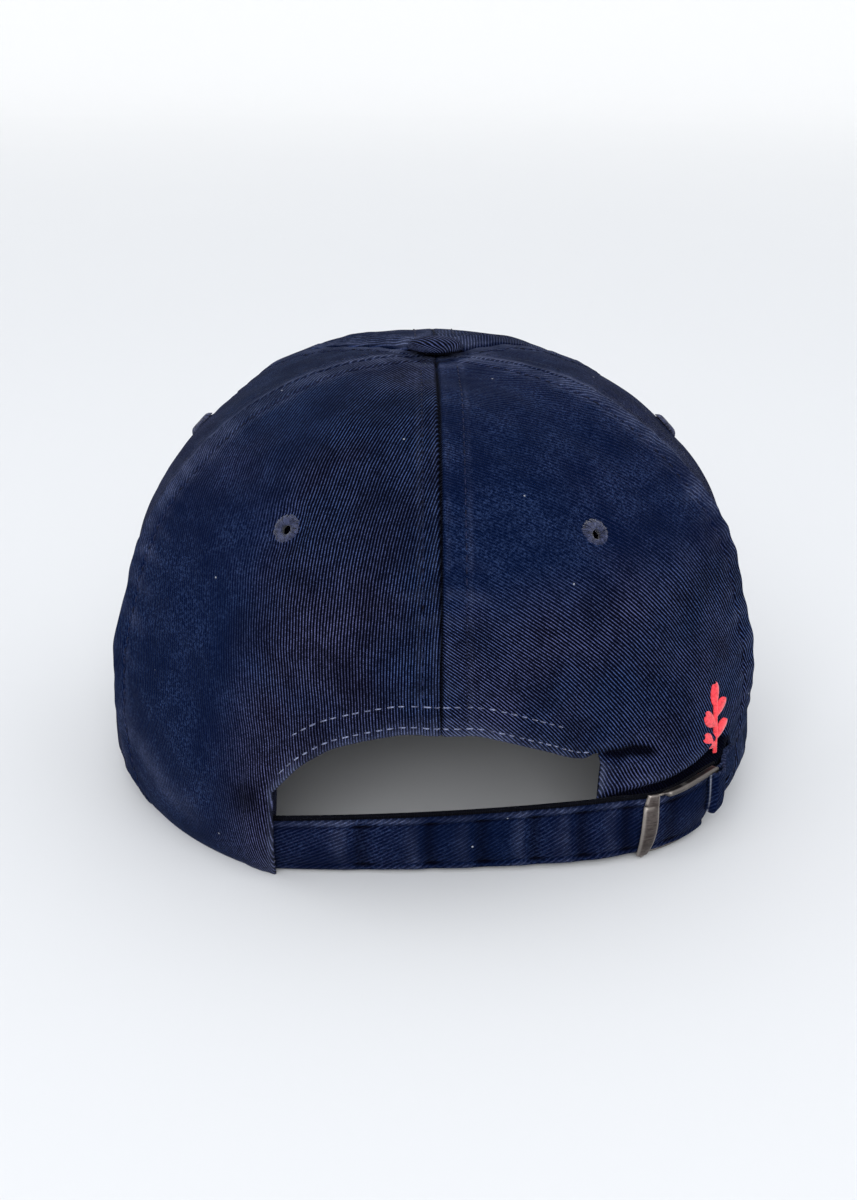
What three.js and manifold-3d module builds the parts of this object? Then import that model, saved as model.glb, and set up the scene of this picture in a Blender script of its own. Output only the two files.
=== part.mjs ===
// A soft six-panel cap of cotton twill with a curved peak, a cloth strap across an arched opening at the
// back, and a slide buckle. It stands on its rim and on the corners of its peak.
// Millimetres, +Z up, the peak towards +Y and the strap towards -Y, the origin on the floor under the middle.
// Azimuths are degrees round the crown from the middle of the back, positive towards +X.
import * as THREE from "three";
import { mergeVertices } from "three/addons/utils/BufferGeometryUtils.js";
import Module from "manifold-3d";

const wasm = await Module();
wasm.setup();

// Crown, measured over the cloth
const crownHalfWidth = 96;
const crownBackReach = 95.3;
const crownFrontReach = 98.9;
const crownHeight = 120.8;
const bellyHeight = 16;
const rimTuck = 5.2;
const apexShift = 4.4;
const shoulderWidthPower = 0.7;
const shoulderRisePower = 0.84;
const ribRise = 6.6;
const ribFullHeight = 54;
const clothThickness = 1.4;
const sideSeamAzimuth = 65.8;
const frontSeamAzimuth = 124.8;
const clearance = 0.3;
const laidGap = 0.5;

// Arched opening at the back: the height of its edge at shares of its half width, left side first
const openingHalfWidth = 42.6;
const openingHeight = 48.8;
const openingEndHeight = 26;
const openingEdge = [
  { across: -1, rise: 0 },
  { across: -0.83, rise: 0.38 },
  { across: -0.64, rise: 0.65 },
  { across: -0.44, rise: 0.81 },
  { across: -0.22, rise: 0.95 },
  { across: 0, rise: 1 },
  { across: 0.22, rise: 0.93 },
  { across: 0.42, rise: 0.77 },
  { across: 0.63, rise: 0.56 },
  { across: 0.78, rise: 0.35 },
  { across: 0.87, rise: 0.26 },
  { across: 1, rise: 0.24 },
];

// Strap, the dip that it pulls into the right back panel, and its ends
const strapHeight = 17.2;
const strapThickness = 2;
const strapFloorGap = 0.5;
const strapRightLift = 1.3;
const strapBow = 2.2;
const strapHiddenAzimuth = -38;
const strapTailAzimuth = 52;
const strapPull = 11;
const strapPullAzimuth = 27;
const strapPullSpread = 13;
const strapPullHeight = 62;
const strapPullAtRim = 0.6;

// Slide buckle and the cloth loop that holds it
const plateAzimuth = 37.2;
const plateEndWidth = 3;
const plateWidth = 4.6;
const buckleMetal = 1;
const endBarAzimuth = 49.3;
const endBarWidth = 1.4;
const loopCloth = 0.9;
const loopRootAzimuth = 58.5;
const loopLift = 4;
const loopRise = 4.5;
const loopGap = 0.9;

// Peak
const peakLength = 68;
const peakHalfWidth = 84;
const peakThickness = 3.2;
const peakArch = 18;
const peakEndAzimuth = 116;
const peakEase = 24;
const peakTuck = 3;
const peakRoundness = 2.6;
const liftFadeHeight = 50;

// Sweatband
const bandHeight = 28;
const bandThickness = 1.2;
const bandFloorGap = 0.6;
const bandStepEase = 5;
const bandEase = 0.35;

// Top button and eyelets
const buttonRadius = 8;
const buttonHeight = 3.6;
const buttonStemRadius = 2.4;
const buttonWasherRadius = 5.5;
const buttonWasherThickness = 0.8;
const eyeletOuterRadius = 4.2;
const eyeletHoleRadius = 1.5;
const eyeletNeckRadius = 2.2;
const eyeletHeight = 0.9;
const eyelets = [
  { name: "eyelet_back_left", azimuth: -31.3, height: 90 },
  { name: "eyelet_back_right", azimuth: 32, height: 89 },
  { name: "eyelet_side_left", azimuth: -95.3, height: 99 },
  { name: "eyelet_side_right", azimuth: 95.3, height: 99 },
  { name: "eyelet_front_left", azimuth: -152.4, height: 92 },
  { name: "eyelet_front_right", azimuth: 152.4, height: 92 },
];

// Embroidered sprig: a stem and leaves, each leaf by its place along the stem, its side and its length
const sprigAzimuth = 52.5;
const sprigFoot = 24.5;
const sprigLength = 20;
const sprigStemWidth = 1.2;
const sprigThickness = 0.8;
const sprigLeafWidth = 3.6;
const sprigLeaves = [
  { along: 0.1, lean: 52, length: 6.4 },
  { along: 0.2, lean: -50, length: 6.6 },
  { along: 0.4, lean: 48, length: 6.4 },
  { along: 0.52, lean: -46, length: 6 },
  { along: 0.68, lean: 0, length: 6.4 },
];

// Fineness of the facets
const panelColumns = 9;
const bellyRows = 2;
const domeRows = 14;
const shoulderEase = 1.6;
const bellyShare = 0.16;

const colours = {
  twill: { color: 0x1b2547, roughness: 0.92, metalness: 0 },
  thread: { color: 0x2c3659, roughness: 0.8, metalness: 0 },
  band: { color: 0x10162e, roughness: 0.95, metalness: 0 },
  metal: { color: 0x6b625a, roughness: 0.38, metalness: 1 },
  embroidery: { color: 0xe8343f, roughness: 0.6, metalness: 0 },
};

const radians = THREE.MathUtils.degToRad;
const mix = THREE.MathUtils.lerp;
const ease = (x) => THREE.MathUtils.smoothstep(x, 0, 1);
const apexHoleRadius = buttonStemRadius + clearance;

// The crown's plan radius at its belly, an ellipse with its own reach to the front and to the back
function bellyRadius(azimuth) {
  const sine = Math.sin(radians(azimuth));
  const cosine = Math.cos(radians(azimuth));
  const reach = cosine > 0 ? crownBackReach : crownFrontReach;
  return 1 / Math.hypot(sine / crownHalfWidth, cosine / reach);
}

// 0 at the middle of a panel and 1 at the seams of a regular six-panel crown, where the cloth stands out
function ribShare(azimuth) {
  const turn = Math.abs(azimuth > 180 ? azimuth - 360 : azimuth);
  const seams = [0, sideSeamAzimuth, frontSeamAzimuth, 180];
  const panel = turn < seams[1] ? 0 : turn < seams[2] ? 1 : 2;
  const fromMiddle = turn - (seams[panel] + seams[panel + 1]) / 2;
  const flat = 1 / Math.cos(radians(30)) - 1;
  return (1 / Math.cos(radians(fromMiddle)) - 1) / flat;
}

// How far the tight strap draws the right back panel in
function strapDip(azimuth, height) {
  const across = (azimuth - strapPullAzimuth) / strapPullSpread;
  const up = height < bellyHeight
    ? mix(strapPullAtRim, 1, height / bellyHeight)
    : 1 - ease((height - bellyHeight) / (strapPullHeight - bellyHeight));
  return strapPull * Math.exp(-across * across) * up;
}

// The peak's upper side, an arch across the cap
function peakTop(x) {
  return peakThickness + peakArch * (1 - (x / peakHalfWidth) ** 2);
}

// The crown's outline in the half plane at an azimuth: radius and height at a share of the way up
function outline(azimuth, up) {
  const belly = bellyRadius(azimuth);
  let radius;
  let height;
  if (up < bellyShare) {
    const rise = up / bellyShare;
    height = bellyHeight * rise;
    radius = belly - rimTuck * (1 - rise) ** 2;
  } else {
    const left = Math.max(1 - (up - bellyShare) / (1 - bellyShare), 0);
    const angle = (1 - left ** shoulderEase) * Math.PI / 2;
    const width = Math.max(Math.cos(angle), 0) ** shoulderWidthPower;
    height = bellyHeight + (crownHeight - bellyHeight) * Math.sin(angle) ** shoulderRisePower;
    const rib = ribRise * ease(height / ribFullHeight) * (ribShare(azimuth) - 0.5);
    radius = apexHoleRadius + (belly + rib - apexHoleRadius) * width;
  }
  if (up < bellyShare) {
    radius += ribRise * ease(height / ribFullHeight) * (ribShare(azimuth) - 0.5);
  }
  return { radius: radius - strapDip(azimuth, height), height };
}

// The share of the way up at which the crown has a given height
function shareAtHeight(height) {
  if (height < bellyHeight) {
    return bellyShare * height / bellyHeight;
  }
  const sine = ((height - bellyHeight) / (crownHeight - bellyHeight)) ** (1 / shoulderRisePower);
  const turn = Math.asin(Math.min(sine, 1)) / (Math.PI / 2);
  return bellyShare + (1 - bellyShare) * (1 - (1 - turn) ** (1 / shoulderEase));
}

// A point on the crown, or out from it by a distance; the front rim is lifted to ride on the peak
function crownPoint(azimuth, up, out = 0) {
  const step = 1e-3;
  const low = outline(azimuth, Math.max(up - step, 0));
  const high = outline(azimuth, Math.min(up + step, 1));
  const here = outline(azimuth, up);
  const slope = Math.hypot(high.radius - low.radius, high.height - low.height);
  const level = ease(up / bellyShare);
  const outward = mix(1, (high.height - low.height) / slope, level);
  const upward = level * (low.radius - high.radius) / slope;
  const radius = here.radius + out * outward;
  const height = here.height + out * upward;
  const sine = Math.sin(radians(azimuth));
  const turn = Math.abs(azimuth > 180 ? azimuth - 360 : azimuth);
  const rimX = (outline(azimuth, 0).radius + out) * sine;
  const onPeak = ease((turn - peakEndAzimuth + peakEase) / peakEase);
  const lift = onPeak * (peakTop(rimX) + clearance) * Math.max(1 - height / liftFadeHeight, 0) ** 2;
  const y = -radius * Math.cos(radians(azimuth)) + apexShift * height / crownHeight;
  return new THREE.Vector3(radius * sine, y, height + lift);
}

// The rows of facets: the share of the way up of each, and its height
const panelRows = bellyRows + domeRows;
const rowShares = Array.from({ length: panelRows + 1 }, (_, row) => (row <= bellyRows
  ? bellyShare * row / bellyRows
  : bellyShare + (1 - bellyShare) * (row - bellyRows) / domeRows));
const rowHeights = rowShares.map((up) => outline(0, up).height);

// A point on a panel's facets at a height, or out from them by a distance, so that what lies on the
// cloth follows it
function wallPoint(azimuth, height, out) {
  const turn = azimuth > 180 ? azimuth - 360 : azimuth;
  const seams = [0, sideSeamAzimuth, frontSeamAzimuth, 180];
  const panel = Math.max(seams.findLastIndex((seam, i) => i < 3 && Math.abs(turn) >= seam), 0);
  const width = (seams[panel + 1] - seams[panel]) / panelColumns;
  const column = Math.min(Math.floor((Math.abs(turn) - seams[panel]) / width), panelColumns - 1);
  const row = Math.min(Math.max(rowHeights.findLastIndex((one) => one <= height), 0), panelRows - 1);
  const across = (Math.abs(turn) - seams[panel]) / width - column;
  const upward = (height - rowHeights[row]) / (rowHeights[row + 1] - rowHeights[row]);
  const side = turn < 0 ? -1 : 1;
  const corner = (right, up) =>
    crownPoint(side * (seams[panel] + (column + right) * width), rowShares[row + up], out);
  const low = corner(0, 0).lerp(corner(1, 0), across);
  const high = corner(0, 1).lerp(corner(1, 1), across);
  return low.lerp(high, upward);
}

// A closed sheet: pointAt gives a point at a share across, a share up and a share through
function sheet(columns, rows, pointAt) {
  const positions = [];
  const faces = [];
  const at = (layer, column, row) => (layer * (columns + 1) + column) * (rows + 1) + row;
  const quad = (a, b, c, d) => faces.push(a, b, c, a, c, d);
  for (let layer = 0; layer < 2; layer++) {
    for (let column = 0; column <= columns; column++) {
      for (let row = 0; row <= rows; row++) {
        positions.push(...pointAt(column / columns, row / rows, layer).toArray());
      }
    }
  }
  for (let column = 0; column < columns; column++) {
    for (let row = 0; row < rows; row++) {
      quad(at(1, column, row), at(1, column + 1, row), at(1, column + 1, row + 1), at(1, column, row + 1));
      quad(at(0, column, row), at(0, column, row + 1), at(0, column + 1, row + 1), at(0, column + 1, row));
    }
    quad(at(0, column, 0), at(0, column + 1, 0), at(1, column + 1, 0), at(1, column, 0));
    quad(at(0, column, rows), at(1, column, rows), at(1, column + 1, rows), at(0, column + 1, rows));
  }
  for (let row = 0; row < rows; row++) {
    quad(at(0, 0, row), at(1, 0, row), at(1, 0, row + 1), at(0, 0, row + 1));
    quad(at(0, columns, row), at(0, columns, row + 1), at(1, columns, row + 1), at(1, columns, row));
  }
  const geometry = new THREE.BufferGeometry();
  geometry.setAttribute("position", new THREE.BufferAttribute(new Float32Array(positions), 3));
  geometry.setIndex(faces);
  return geometry;
}

// A three.js geometry as a solid, and a solid as a geometry
function solidOf(geometry) {
  const bare = geometry.index ? geometry.toNonIndexed() : geometry.clone();
  bare.deleteAttribute("normal");
  bare.deleteAttribute("uv");
  const merged = mergeVertices(bare, 1e-4);
  const vertProperties = merged.attributes.position.array;
  const triVerts = new Uint32Array(merged.index.array);
  return new wasm.Manifold(new wasm.Mesh({ numProp: 3, vertProperties, triVerts }));
}

function geometryOf(solid) {
  const mesh = solid.getMesh();
  const geometry = new THREE.BufferGeometry();
  geometry.setAttribute("position", new THREE.BufferAttribute(mesh.vertProperties.slice(), 3));
  geometry.setIndex(new THREE.BufferAttribute(mesh.triVerts.slice(), 1));
  return geometry;
}

const cap = new THREE.Group();

function add(name, geometry, look) {
  const flat = geometry.index ? geometry.toNonIndexed() : geometry;
  flat.computeVertexNormals();
  const mesh = new THREE.Mesh(flat, new THREE.MeshStandardMaterial(colours[look]));
  mesh.name = name;
  cap.add(mesh);
  return mesh;
}

// The arched hole between the two back panels
function openingCutter() {
  const deep = 80;
  const edge = openingEdge.map(({ across, rise }) => new THREE.Vector2(
    across * openingHalfWidth,
    mix(openingEndHeight, openingHeight, rise),
  ));
  const shape = new THREE.Shape();
  shape.moveTo(-openingHalfWidth, -deep);
  edge.forEach((point) => shape.lineTo(point.x, point.y));
  shape.lineTo(openingHalfWidth, -deep);
  const block = new THREE.ExtrudeGeometry(shape, { depth: deep, bevelEnabled: false });
  return solidOf(block.rotateX(Math.PI / 2).translate(0, -deep / 2, 0));
}

// Where an eyelet sits: its place on the cloth and the turn that points +Z out of it
function eyeletFrame({ azimuth, height }) {
  const place = wallPoint(azimuth, height, 0);
  const outward = wallPoint(azimuth, height, 1).sub(place).normalize();
  const turn = new THREE.Quaternion().setFromUnitVectors(new THREE.Vector3(0, 0, 1), outward);
  return { place, turn };
}

function makePanels() {
  const panels = [
    { name: "panel_back_right", from: 0, to: sideSeamAzimuth },
    { name: "panel_side_right", from: sideSeamAzimuth, to: frontSeamAzimuth },
    { name: "panel_front_right", from: frontSeamAzimuth, to: 180 },
    { name: "panel_front_left", from: -180, to: -frontSeamAzimuth },
    { name: "panel_side_left", from: -frontSeamAzimuth, to: -sideSeamAzimuth },
    { name: "panel_back_left", from: -sideSeamAzimuth, to: 0 },
  ];
  const opening = openingCutter();
  for (const { name, from, to } of panels) {
    const panel = sheet(panelColumns, panelRows, (across, share, layer) => {
      const up = rowShares[Math.round(share * panelRows)];
      const inset = THREE.MathUtils.radToDeg(clearance / 2 / outline(from, up).radius);
      const azimuth = mix(from + inset, to - inset, across);
      return crownPoint(azimuth, up, (layer - 1) * clothThickness);
    });
    let solid = solidOf(panel);
    if (name.includes("back")) {
      solid = solid.subtract(opening);
    }
    for (const eyelet of eyelets.filter((one) => name.endsWith(one.name.replace("eyelet_", "")))) {
      const { place, turn } = eyeletFrame(eyelet);
      const radius = eyeletNeckRadius + clearance;
      const punch = new THREE.CylinderGeometry(radius, radius, 6 * clothThickness, 12).rotateX(Math.PI / 2);
      solid = solid.subtract(solidOf(punch.applyQuaternion(turn).translate(place.x, place.y, place.z)));
    }
    add(name, geometryOf(solid), "twill");
  }
}

function makeEyelets() {
  const foot = -clothThickness - 2 * clearance;
  const profile = [
    [eyeletHoleRadius, foot],
    [eyeletNeckRadius, foot],
    [eyeletNeckRadius, clearance],
    [eyeletOuterRadius, clearance],
    [eyeletOuterRadius - 0.4, clearance + eyeletHeight],
    [eyeletHoleRadius + 0.5, clearance + eyeletHeight],
    [eyeletHoleRadius, clearance],
    [eyeletHoleRadius, foot],
  ].map(([x, y]) => new THREE.Vector2(x, y));
  for (const eyelet of eyelets) {
    const { place, turn } = eyeletFrame(eyelet);
    const ring = new THREE.LatheGeometry(profile, 14).rotateX(Math.PI / 2);
    const mesh = add(eyelet.name, geometryOf(solidOf(ring)), "thread");
    mesh.position.copy(place);
    mesh.quaternion.copy(turn);
  }
}

// Dome, stem and inner washer of the covered button, which clamp the tips of the panels
function makeButton() {
  const under = -clothThickness - clearance;
  const profile = [
    [0, under - buttonWasherThickness],
    [buttonWasherRadius, under - buttonWasherThickness],
    [buttonWasherRadius, under],
    [buttonStemRadius, under],
    [buttonStemRadius, clearance],
    [buttonRadius * 0.92, clearance],
    [buttonRadius, clearance + buttonHeight * 0.28],
    [buttonRadius * 0.93, clearance + buttonHeight * 0.6],
    [buttonRadius * 0.7, clearance + buttonHeight * 0.86],
    [buttonRadius * 0.36, clearance + buttonHeight * 0.97],
    [0, clearance + buttonHeight],
  ].map(([x, y]) => new THREE.Vector2(x, y));
  const dome = new THREE.LatheGeometry(profile, 20).rotateX(Math.PI / 2);
  add("top_button", geometryOf(solidOf(dome)), "twill").position.set(0, apexShift, crownHeight);
}

// Peak: from under the front rim to a rounded outer edge, arched across
function makePeak() {
  const rimEnd = wallPoint(peakEndAzimuth, 0, 0).y;
  const front = -outline(180, 0).radius * Math.cos(Math.PI) + peakLength;
  const columns = 30;
  const rows = 5;
  const geometry = sheet(columns, rows, (across, forward, layer) => {
    const azimuth = mix(360 - peakEndAzimuth, peakEndAzimuth, across);
    const inner = outline(azimuth, 0).radius - peakTuck;
    const swing = Math.PI * (across - 0.5);
    const round = (value) => Math.sign(value) * Math.abs(value) ** (2 / peakRoundness);
    const outerX = peakHalfWidth * round(Math.sin(swing));
    const outerY = rimEnd + (front - rimEnd) * round(Math.max(Math.cos(swing), 0));
    const x = mix(inner * Math.sin(radians(azimuth)), outerX, forward);
    const y = mix(-inner * Math.cos(radians(azimuth)), outerY, forward);
    return new THREE.Vector3(x, y, peakTop(x) + (layer - 1) * peakThickness);
  });
  add("peak", geometryOf(solidOf(geometry)), "twill");
}

// Sweatband: inside the rim from one side of the opening round the front to the other
function makeBand() {
  const rightEnd = THREE.MathUtils.radToDeg(Math.asin(openingHalfWidth / outline(27, 0).radius)) + 0.6;
  const leftEnd = 360 - THREE.MathUtils.radToDeg(Math.asin(openingHalfWidth / outline(-27, 0).radius));
  const geometry = sheet(96, 4, (across, up, layer) => {
    const azimuth = mix(rightEnd, leftEnd, across);
    const pastStrap = azimuth - 360 - strapHiddenAzimuth + 2 * bandStepEase;
    const step = (strapThickness + laidGap) * ease(pastStrap / bandStepEase);
    const depth = clothThickness + clearance + bandEase + step + (1 - layer) * bandThickness;
    return wallPoint(azimuth, bandFloorGap + up * bandHeight, -depth);
  });
  add("sweatband", geometryOf(solidOf(geometry)), "band");
}

const strapFoot = (azimuth) => strapFloorGap + strapRightLift * ease((azimuth + 10) / 40);
const onStrap = laidGap + strapThickness + clearance;
const onLoop = onStrap + loopCloth + clearance;

// Strap: from inside the left back panel, across the opening, then over the right one into the buckle
function makeStrap() {
  const openingEnd = 29;
  const rows = 4;
  const steps = (from, to, count) => Array.from({ length: count + 1 }, (_, i) => mix(from, to, i / count));
  const inside = steps(strapHiddenAzimuth, -openingEnd, 5);
  const outside = steps(openingEnd, strapTailAzimuth, 24);
  const spans = 9;
  const innerPoint = (azimuth, height, layer) =>
    wallPoint(azimuth, height, -clothThickness - clearance - (1 - layer) * strapThickness);
  const outerPoint = (azimuth, height, layer) =>
    wallPoint(azimuth, height, laidGap + layer * strapThickness);
  const columns = inside.length + spans + outside.length - 1;
  const geometry = sheet(columns, rows, (across, up, layer) => {
    const column = Math.round(across * columns);
    const height = (azimuth) => strapFoot(azimuth) + strapHeight * up;
    if (column < inside.length) {
      return innerPoint(inside[column], height(inside[column]), layer);
    }
    const past = column - inside.length - spans;
    if (past >= 0) {
      return outerPoint(outside[past], height(outside[past]), layer);
    }
    const share = (column - inside.length + 1) / (spans + 1);
    const from = innerPoint(-openingEnd, height(-openingEnd), layer);
    const to = outerPoint(openingEnd, height(openingEnd), layer);
    const place = from.lerp(to, share);
    return place.setY(place.y - strapBow * 4 * share * (1 - share));
  });
  add("strap", geometryOf(solidOf(geometry)), "twill");
}

// Buckle: a plate over the strap and an end bar in the cloth loop, joined by a rail above and one below
function makeBuckle() {
  const foot = strapFoot(plateAzimuth) - clearance;
  const head = foot + strapHeight + 2 * clearance;
  const degrees = (length) => THREE.MathUtils.radToDeg(length / crownHalfWidth);
  const plate = sheet(2, 6, (across, up, layer) => {
    const bulge = 1 - (2 * up - 1) ** 2;
    const half = mix(plateEndWidth, plateWidth, bulge) / 2;
    const azimuth = plateAzimuth + degrees(mix(-half, half, across));
    const height = mix(foot - buckleMetal, head + buckleMetal, up);
    return wallPoint(azimuth, height, onStrap + layer * buckleMetal + bulge * buckleMetal / 2);
  });
  const bar = sheet(1, 8, (across, up, layer) => wallPoint(
    endBarAzimuth + degrees(mix(-endBarWidth, endBarWidth, across) / 2),
    mix(foot - buckleMetal, head + buckleMetal, up),
    onLoop + layer * buckleMetal,
  ));
  const rail = (low) => sheet(8, 1, (across, up, layer) => wallPoint(
    mix(plateAzimuth, endBarAzimuth, across),
    low + up * buckleMetal,
    mix(onStrap, onLoop + buckleMetal, layer),
  ));
  const solid = solidOf(plate)
    .add(solidOf(bar))
    .add(solidOf(rail(foot - buckleMetal)))
    .add(solidOf(rail(head)));
  add("buckle", geometryOf(solid), "metal");
}

// Cloth loop: sewn down beside the seam, over the tail of the strap and round the buckle's end bar
function makeLoop() {
  const foot = strapFoot(plateAzimuth);
  const full = onLoop + buckleMetal + clearance + loopCloth;
  const degrees = (length) => THREE.MathUtils.radToDeg(length / crownHalfWidth);
  const eyeHalf = degrees(endBarWidth / 2 + clearance);
  const bend = degrees(loopCloth);
  const fall = 3;
  const body = sheet(16, 9, (across, up, layer) => {
    const azimuth = mix(endBarAzimuth - eyeHalf - bend, loopRootAzimuth, across);
    const gone = ease((azimuth - strapTailAzimuth - 0.3) / fall);
    const inner = mix(onStrap, loopGap, gone);
    const outer = mix(full, loopGap + 2 * loopCloth, ease((azimuth - endBarAzimuth - eyeHalf) / (2 * fall)));
    const climb = loopRise * ease((azimuth - endBarAzimuth - 2 * eyeHalf) / (2 * fall));
    return wallPoint(azimuth, foot + mix(loopLift, strapHeight, up) + climb, mix(inner, outer, layer));
  });
  const eye = sheet(1, 8, (across, up, layer) => wallPoint(
    endBarAzimuth + mix(-eyeHalf, eyeHalf, across),
    mix(foot - clearance, foot + strapHeight + clearance, up),
    mix(onLoop - clearance, onLoop + buckleMetal + clearance, layer),
  ));
  add("buckle_loop", geometryOf(solidOf(body).subtract(solidOf(eye))), "twill");
}

// Embroidered sprig: drawn flat, joined, then laid on the cloth
function makeSprig() {
  const extrude = { depth: sprigThickness, bevelEnabled: false };
  const stem = new THREE.BoxGeometry(sprigStemWidth, sprigLength * 0.8, sprigThickness);
  stem.translate(0, sprigLength * 0.4, sprigThickness / 2);
  let solid = solidOf(stem);
  for (const { along, lean, length } of sprigLeaves) {
    const outlinePoints = Array.from({ length: 12 }, (_, i) => {
      const turn = i / 12 * 2 * Math.PI;
      const half = sprigLeafWidth / 2 * Math.sin(turn) * (1 - 0.25 * Math.cos(turn));
      return new THREE.Vector2(half, length / 2 * (1 - Math.cos(turn)));
    });
    const leaf = new THREE.ExtrudeGeometry(new THREE.Shape(outlinePoints), extrude);
    leaf.rotateZ(radians(lean)).translate(0, along * sprigLength, 0);
    solid = solid.add(solidOf(leaf));
  }
  const geometry = geometryOf(solid);
  const place = geometry.attributes.position;
  const radius = outline(sprigAzimuth, shareAtHeight(sprigFoot)).radius;
  for (let i = 0; i < place.count; i++) {
    const azimuth = sprigAzimuth + THREE.MathUtils.radToDeg(place.getX(i) / radius);
    const point = wallPoint(azimuth, sprigFoot + place.getY(i), laidGap + place.getZ(i));
    place.setXYZ(i, point.x, point.y, point.z);
  }
  add("embroidery", geometry, "embroidery");
}

makePanels();
makeButton();
makeEyelets();
makePeak();
makeBand();
makeStrap();
makeBuckle();
makeLoop();
makeSprig();

// The origin: the floor under the middle of the whole cap
const middle = new THREE.Box3().setFromObject(cap).getCenter(new THREE.Vector3());
cap.position.set(-middle.x, -middle.y, 0);

export default cap;
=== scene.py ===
"""A soft six-panel cap of washed cotton twill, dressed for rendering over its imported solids.

Lengths are in millimetres in the crown's own frame: the crown's axis is the Z axis, the floor is z = 0,
the peak points to +Y and the strap's side to -Y. Azimuths are degrees from the middle of the back,
positive towards +X. to_row() takes points to metres in the part's frame.
"""

import math
import random

import bpy
import numpy as np
from mathutils import Matrix, Vector


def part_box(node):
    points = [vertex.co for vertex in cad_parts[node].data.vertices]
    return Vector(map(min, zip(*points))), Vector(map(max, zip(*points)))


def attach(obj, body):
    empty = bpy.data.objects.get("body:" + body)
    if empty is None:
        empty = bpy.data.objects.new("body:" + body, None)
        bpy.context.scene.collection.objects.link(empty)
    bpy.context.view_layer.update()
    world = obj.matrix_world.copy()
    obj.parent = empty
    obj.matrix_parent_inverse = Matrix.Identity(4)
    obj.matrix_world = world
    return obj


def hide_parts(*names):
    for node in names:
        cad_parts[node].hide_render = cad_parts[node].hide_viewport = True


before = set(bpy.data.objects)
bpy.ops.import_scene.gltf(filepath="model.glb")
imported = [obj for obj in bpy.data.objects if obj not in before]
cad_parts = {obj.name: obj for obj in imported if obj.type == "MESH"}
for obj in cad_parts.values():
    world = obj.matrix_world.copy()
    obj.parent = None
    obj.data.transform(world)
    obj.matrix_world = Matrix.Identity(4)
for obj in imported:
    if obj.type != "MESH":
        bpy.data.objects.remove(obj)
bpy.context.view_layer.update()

# The crown, as the solids have it
CROWN_HALF_WIDTH = 96.0
CROWN_BACK_REACH = 95.3
CROWN_FRONT_REACH = 98.9
CROWN_HEIGHT = 120.8
BELLY_HEIGHT = 16.0
RIM_TUCK = 5.2
APEX_SHIFT = 4.4
SHOULDER_WIDTH_POWER = 0.7
SHOULDER_RISE_POWER = 0.84
SHOULDER_EASE = 1.6
BELLY_SHARE = 0.16
RIB_RISE = 6.6
RIB_FULL_HEIGHT = 54.0
CLOTH = 1.4
APEX_HOLE = 2.7
SEAMS = (0.0, 65.8, 124.8, 180.0)
LIFT_FADE_HEIGHT = 50.0
GAP = 0.3

# The peak
PEAK_LENGTH = 68.0
PEAK_HALF_WIDTH = 84.0
PEAK_THICKNESS = 3.2
PEAK_ARCH = 18.0
PEAK_END_AZIMUTH = 116.0
PEAK_EASE = 24.0
PEAK_TUCK = 3.0
PEAK_ROUNDNESS = 2.6

# The arched opening: its edge's height at shares of its half width
OPENING_HALF_WIDTH = 42.6
OPENING_HEIGHT = 48.8
OPENING_END_HEIGHT = 26.0
OPENING_ACROSS = (-1, -0.83, -0.64, -0.44, -0.22, 0, 0.22, 0.42, 0.63, 0.78, 0.87, 1)
OPENING_RISE = (0, 0.38, 0.65, 0.81, 0.95, 1, 0.93, 0.77, 0.56, 0.35, 0.26, 0.24)

# The strap, and the dip that it pulls into the right back panel
STRAP_HEIGHT = 17.2
STRAP_THICKNESS = 2.0
STRAP_FLOOR_GAP = 0.5
STRAP_RIGHT_LIFT = 1.3
STRAP_BOW = 2.2
STRAP_HIDDEN_AZIMUTH = -38.0
STRAP_TAIL_AZIMUTH = 52.0
STRAP_OPENING_AZIMUTH = 29.0
STRAP_PULL = 11.0
STRAP_PULL_AZIMUTH = 27.0
STRAP_PULL_SPREAD = 13.0
STRAP_PULL_HEIGHT = 62.0
STRAP_PULL_AT_RIM = 0.6
LAID_GAP = 0.5

# Sewing
STITCH_OFFSET = 6.0
STITCH_PITCH = 3.0
STITCH_WIDTH = 0.42
HEM_WIDTH = 7.0
HEM_INNER_ROW = 2.0
BACK_SEAM_ROWS = (-4.6, 6.4)
TWILL_PITCH = 0.82
TWILL_FLOAT = 0.46

SEED = 7
MM = 0.001
CROWN_Y = (sum(corner.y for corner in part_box("top_button")) / 2) / MM - APEX_SHIFT


def to_row(points):
    """Points in the crown's frame, in millimetres, as points in the part's frame, in metres."""
    return (np.asarray(points, float) + (0.0, CROWN_Y, 0.0)) * MM


def smooth(x):
    x = np.clip(x, 0.0, 1.0)
    return x * x * (3 - 2 * x)


def hump(x, width):
    """A bell that is 1 at 0 and falls off over a width."""
    return np.exp(-((x / width) ** 2))


def signed(azimuth):
    return (np.asarray(azimuth, float) + 180.0) % 360.0 - 180.0


def unit(vectors):
    return vectors / np.linalg.norm(vectors, axis=-1)[..., None]


def run_along(points):
    """Distances along lines of points, from each line's start."""
    steps = np.linalg.norm(np.diff(points, axis=-2), axis=-1)
    return np.concatenate([np.zeros(steps.shape[:-1] + (1,)), np.cumsum(steps, axis=-1)], axis=-1)


def at_places(places, run, rows):
    """The rows of a line at places along it, where run has the distance to each row."""
    return np.stack([np.interp(places, run, column) for column in rows.T], axis=-1)


def bell(count):
    return np.exp(-np.linspace(-2, 2, count) ** 2)


def averaged(rows, kernel, **ends):
    """The rows of a line smoothed along it by a kernel, with its ends carried on as asked."""
    kernel = kernel / kernel.sum()
    reach = len(kernel) // 2
    columns = [np.convolve(np.pad(column, reach, **ends), kernel, "valid") for column in rows.T]
    return np.stack(columns, axis=-1)


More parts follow.
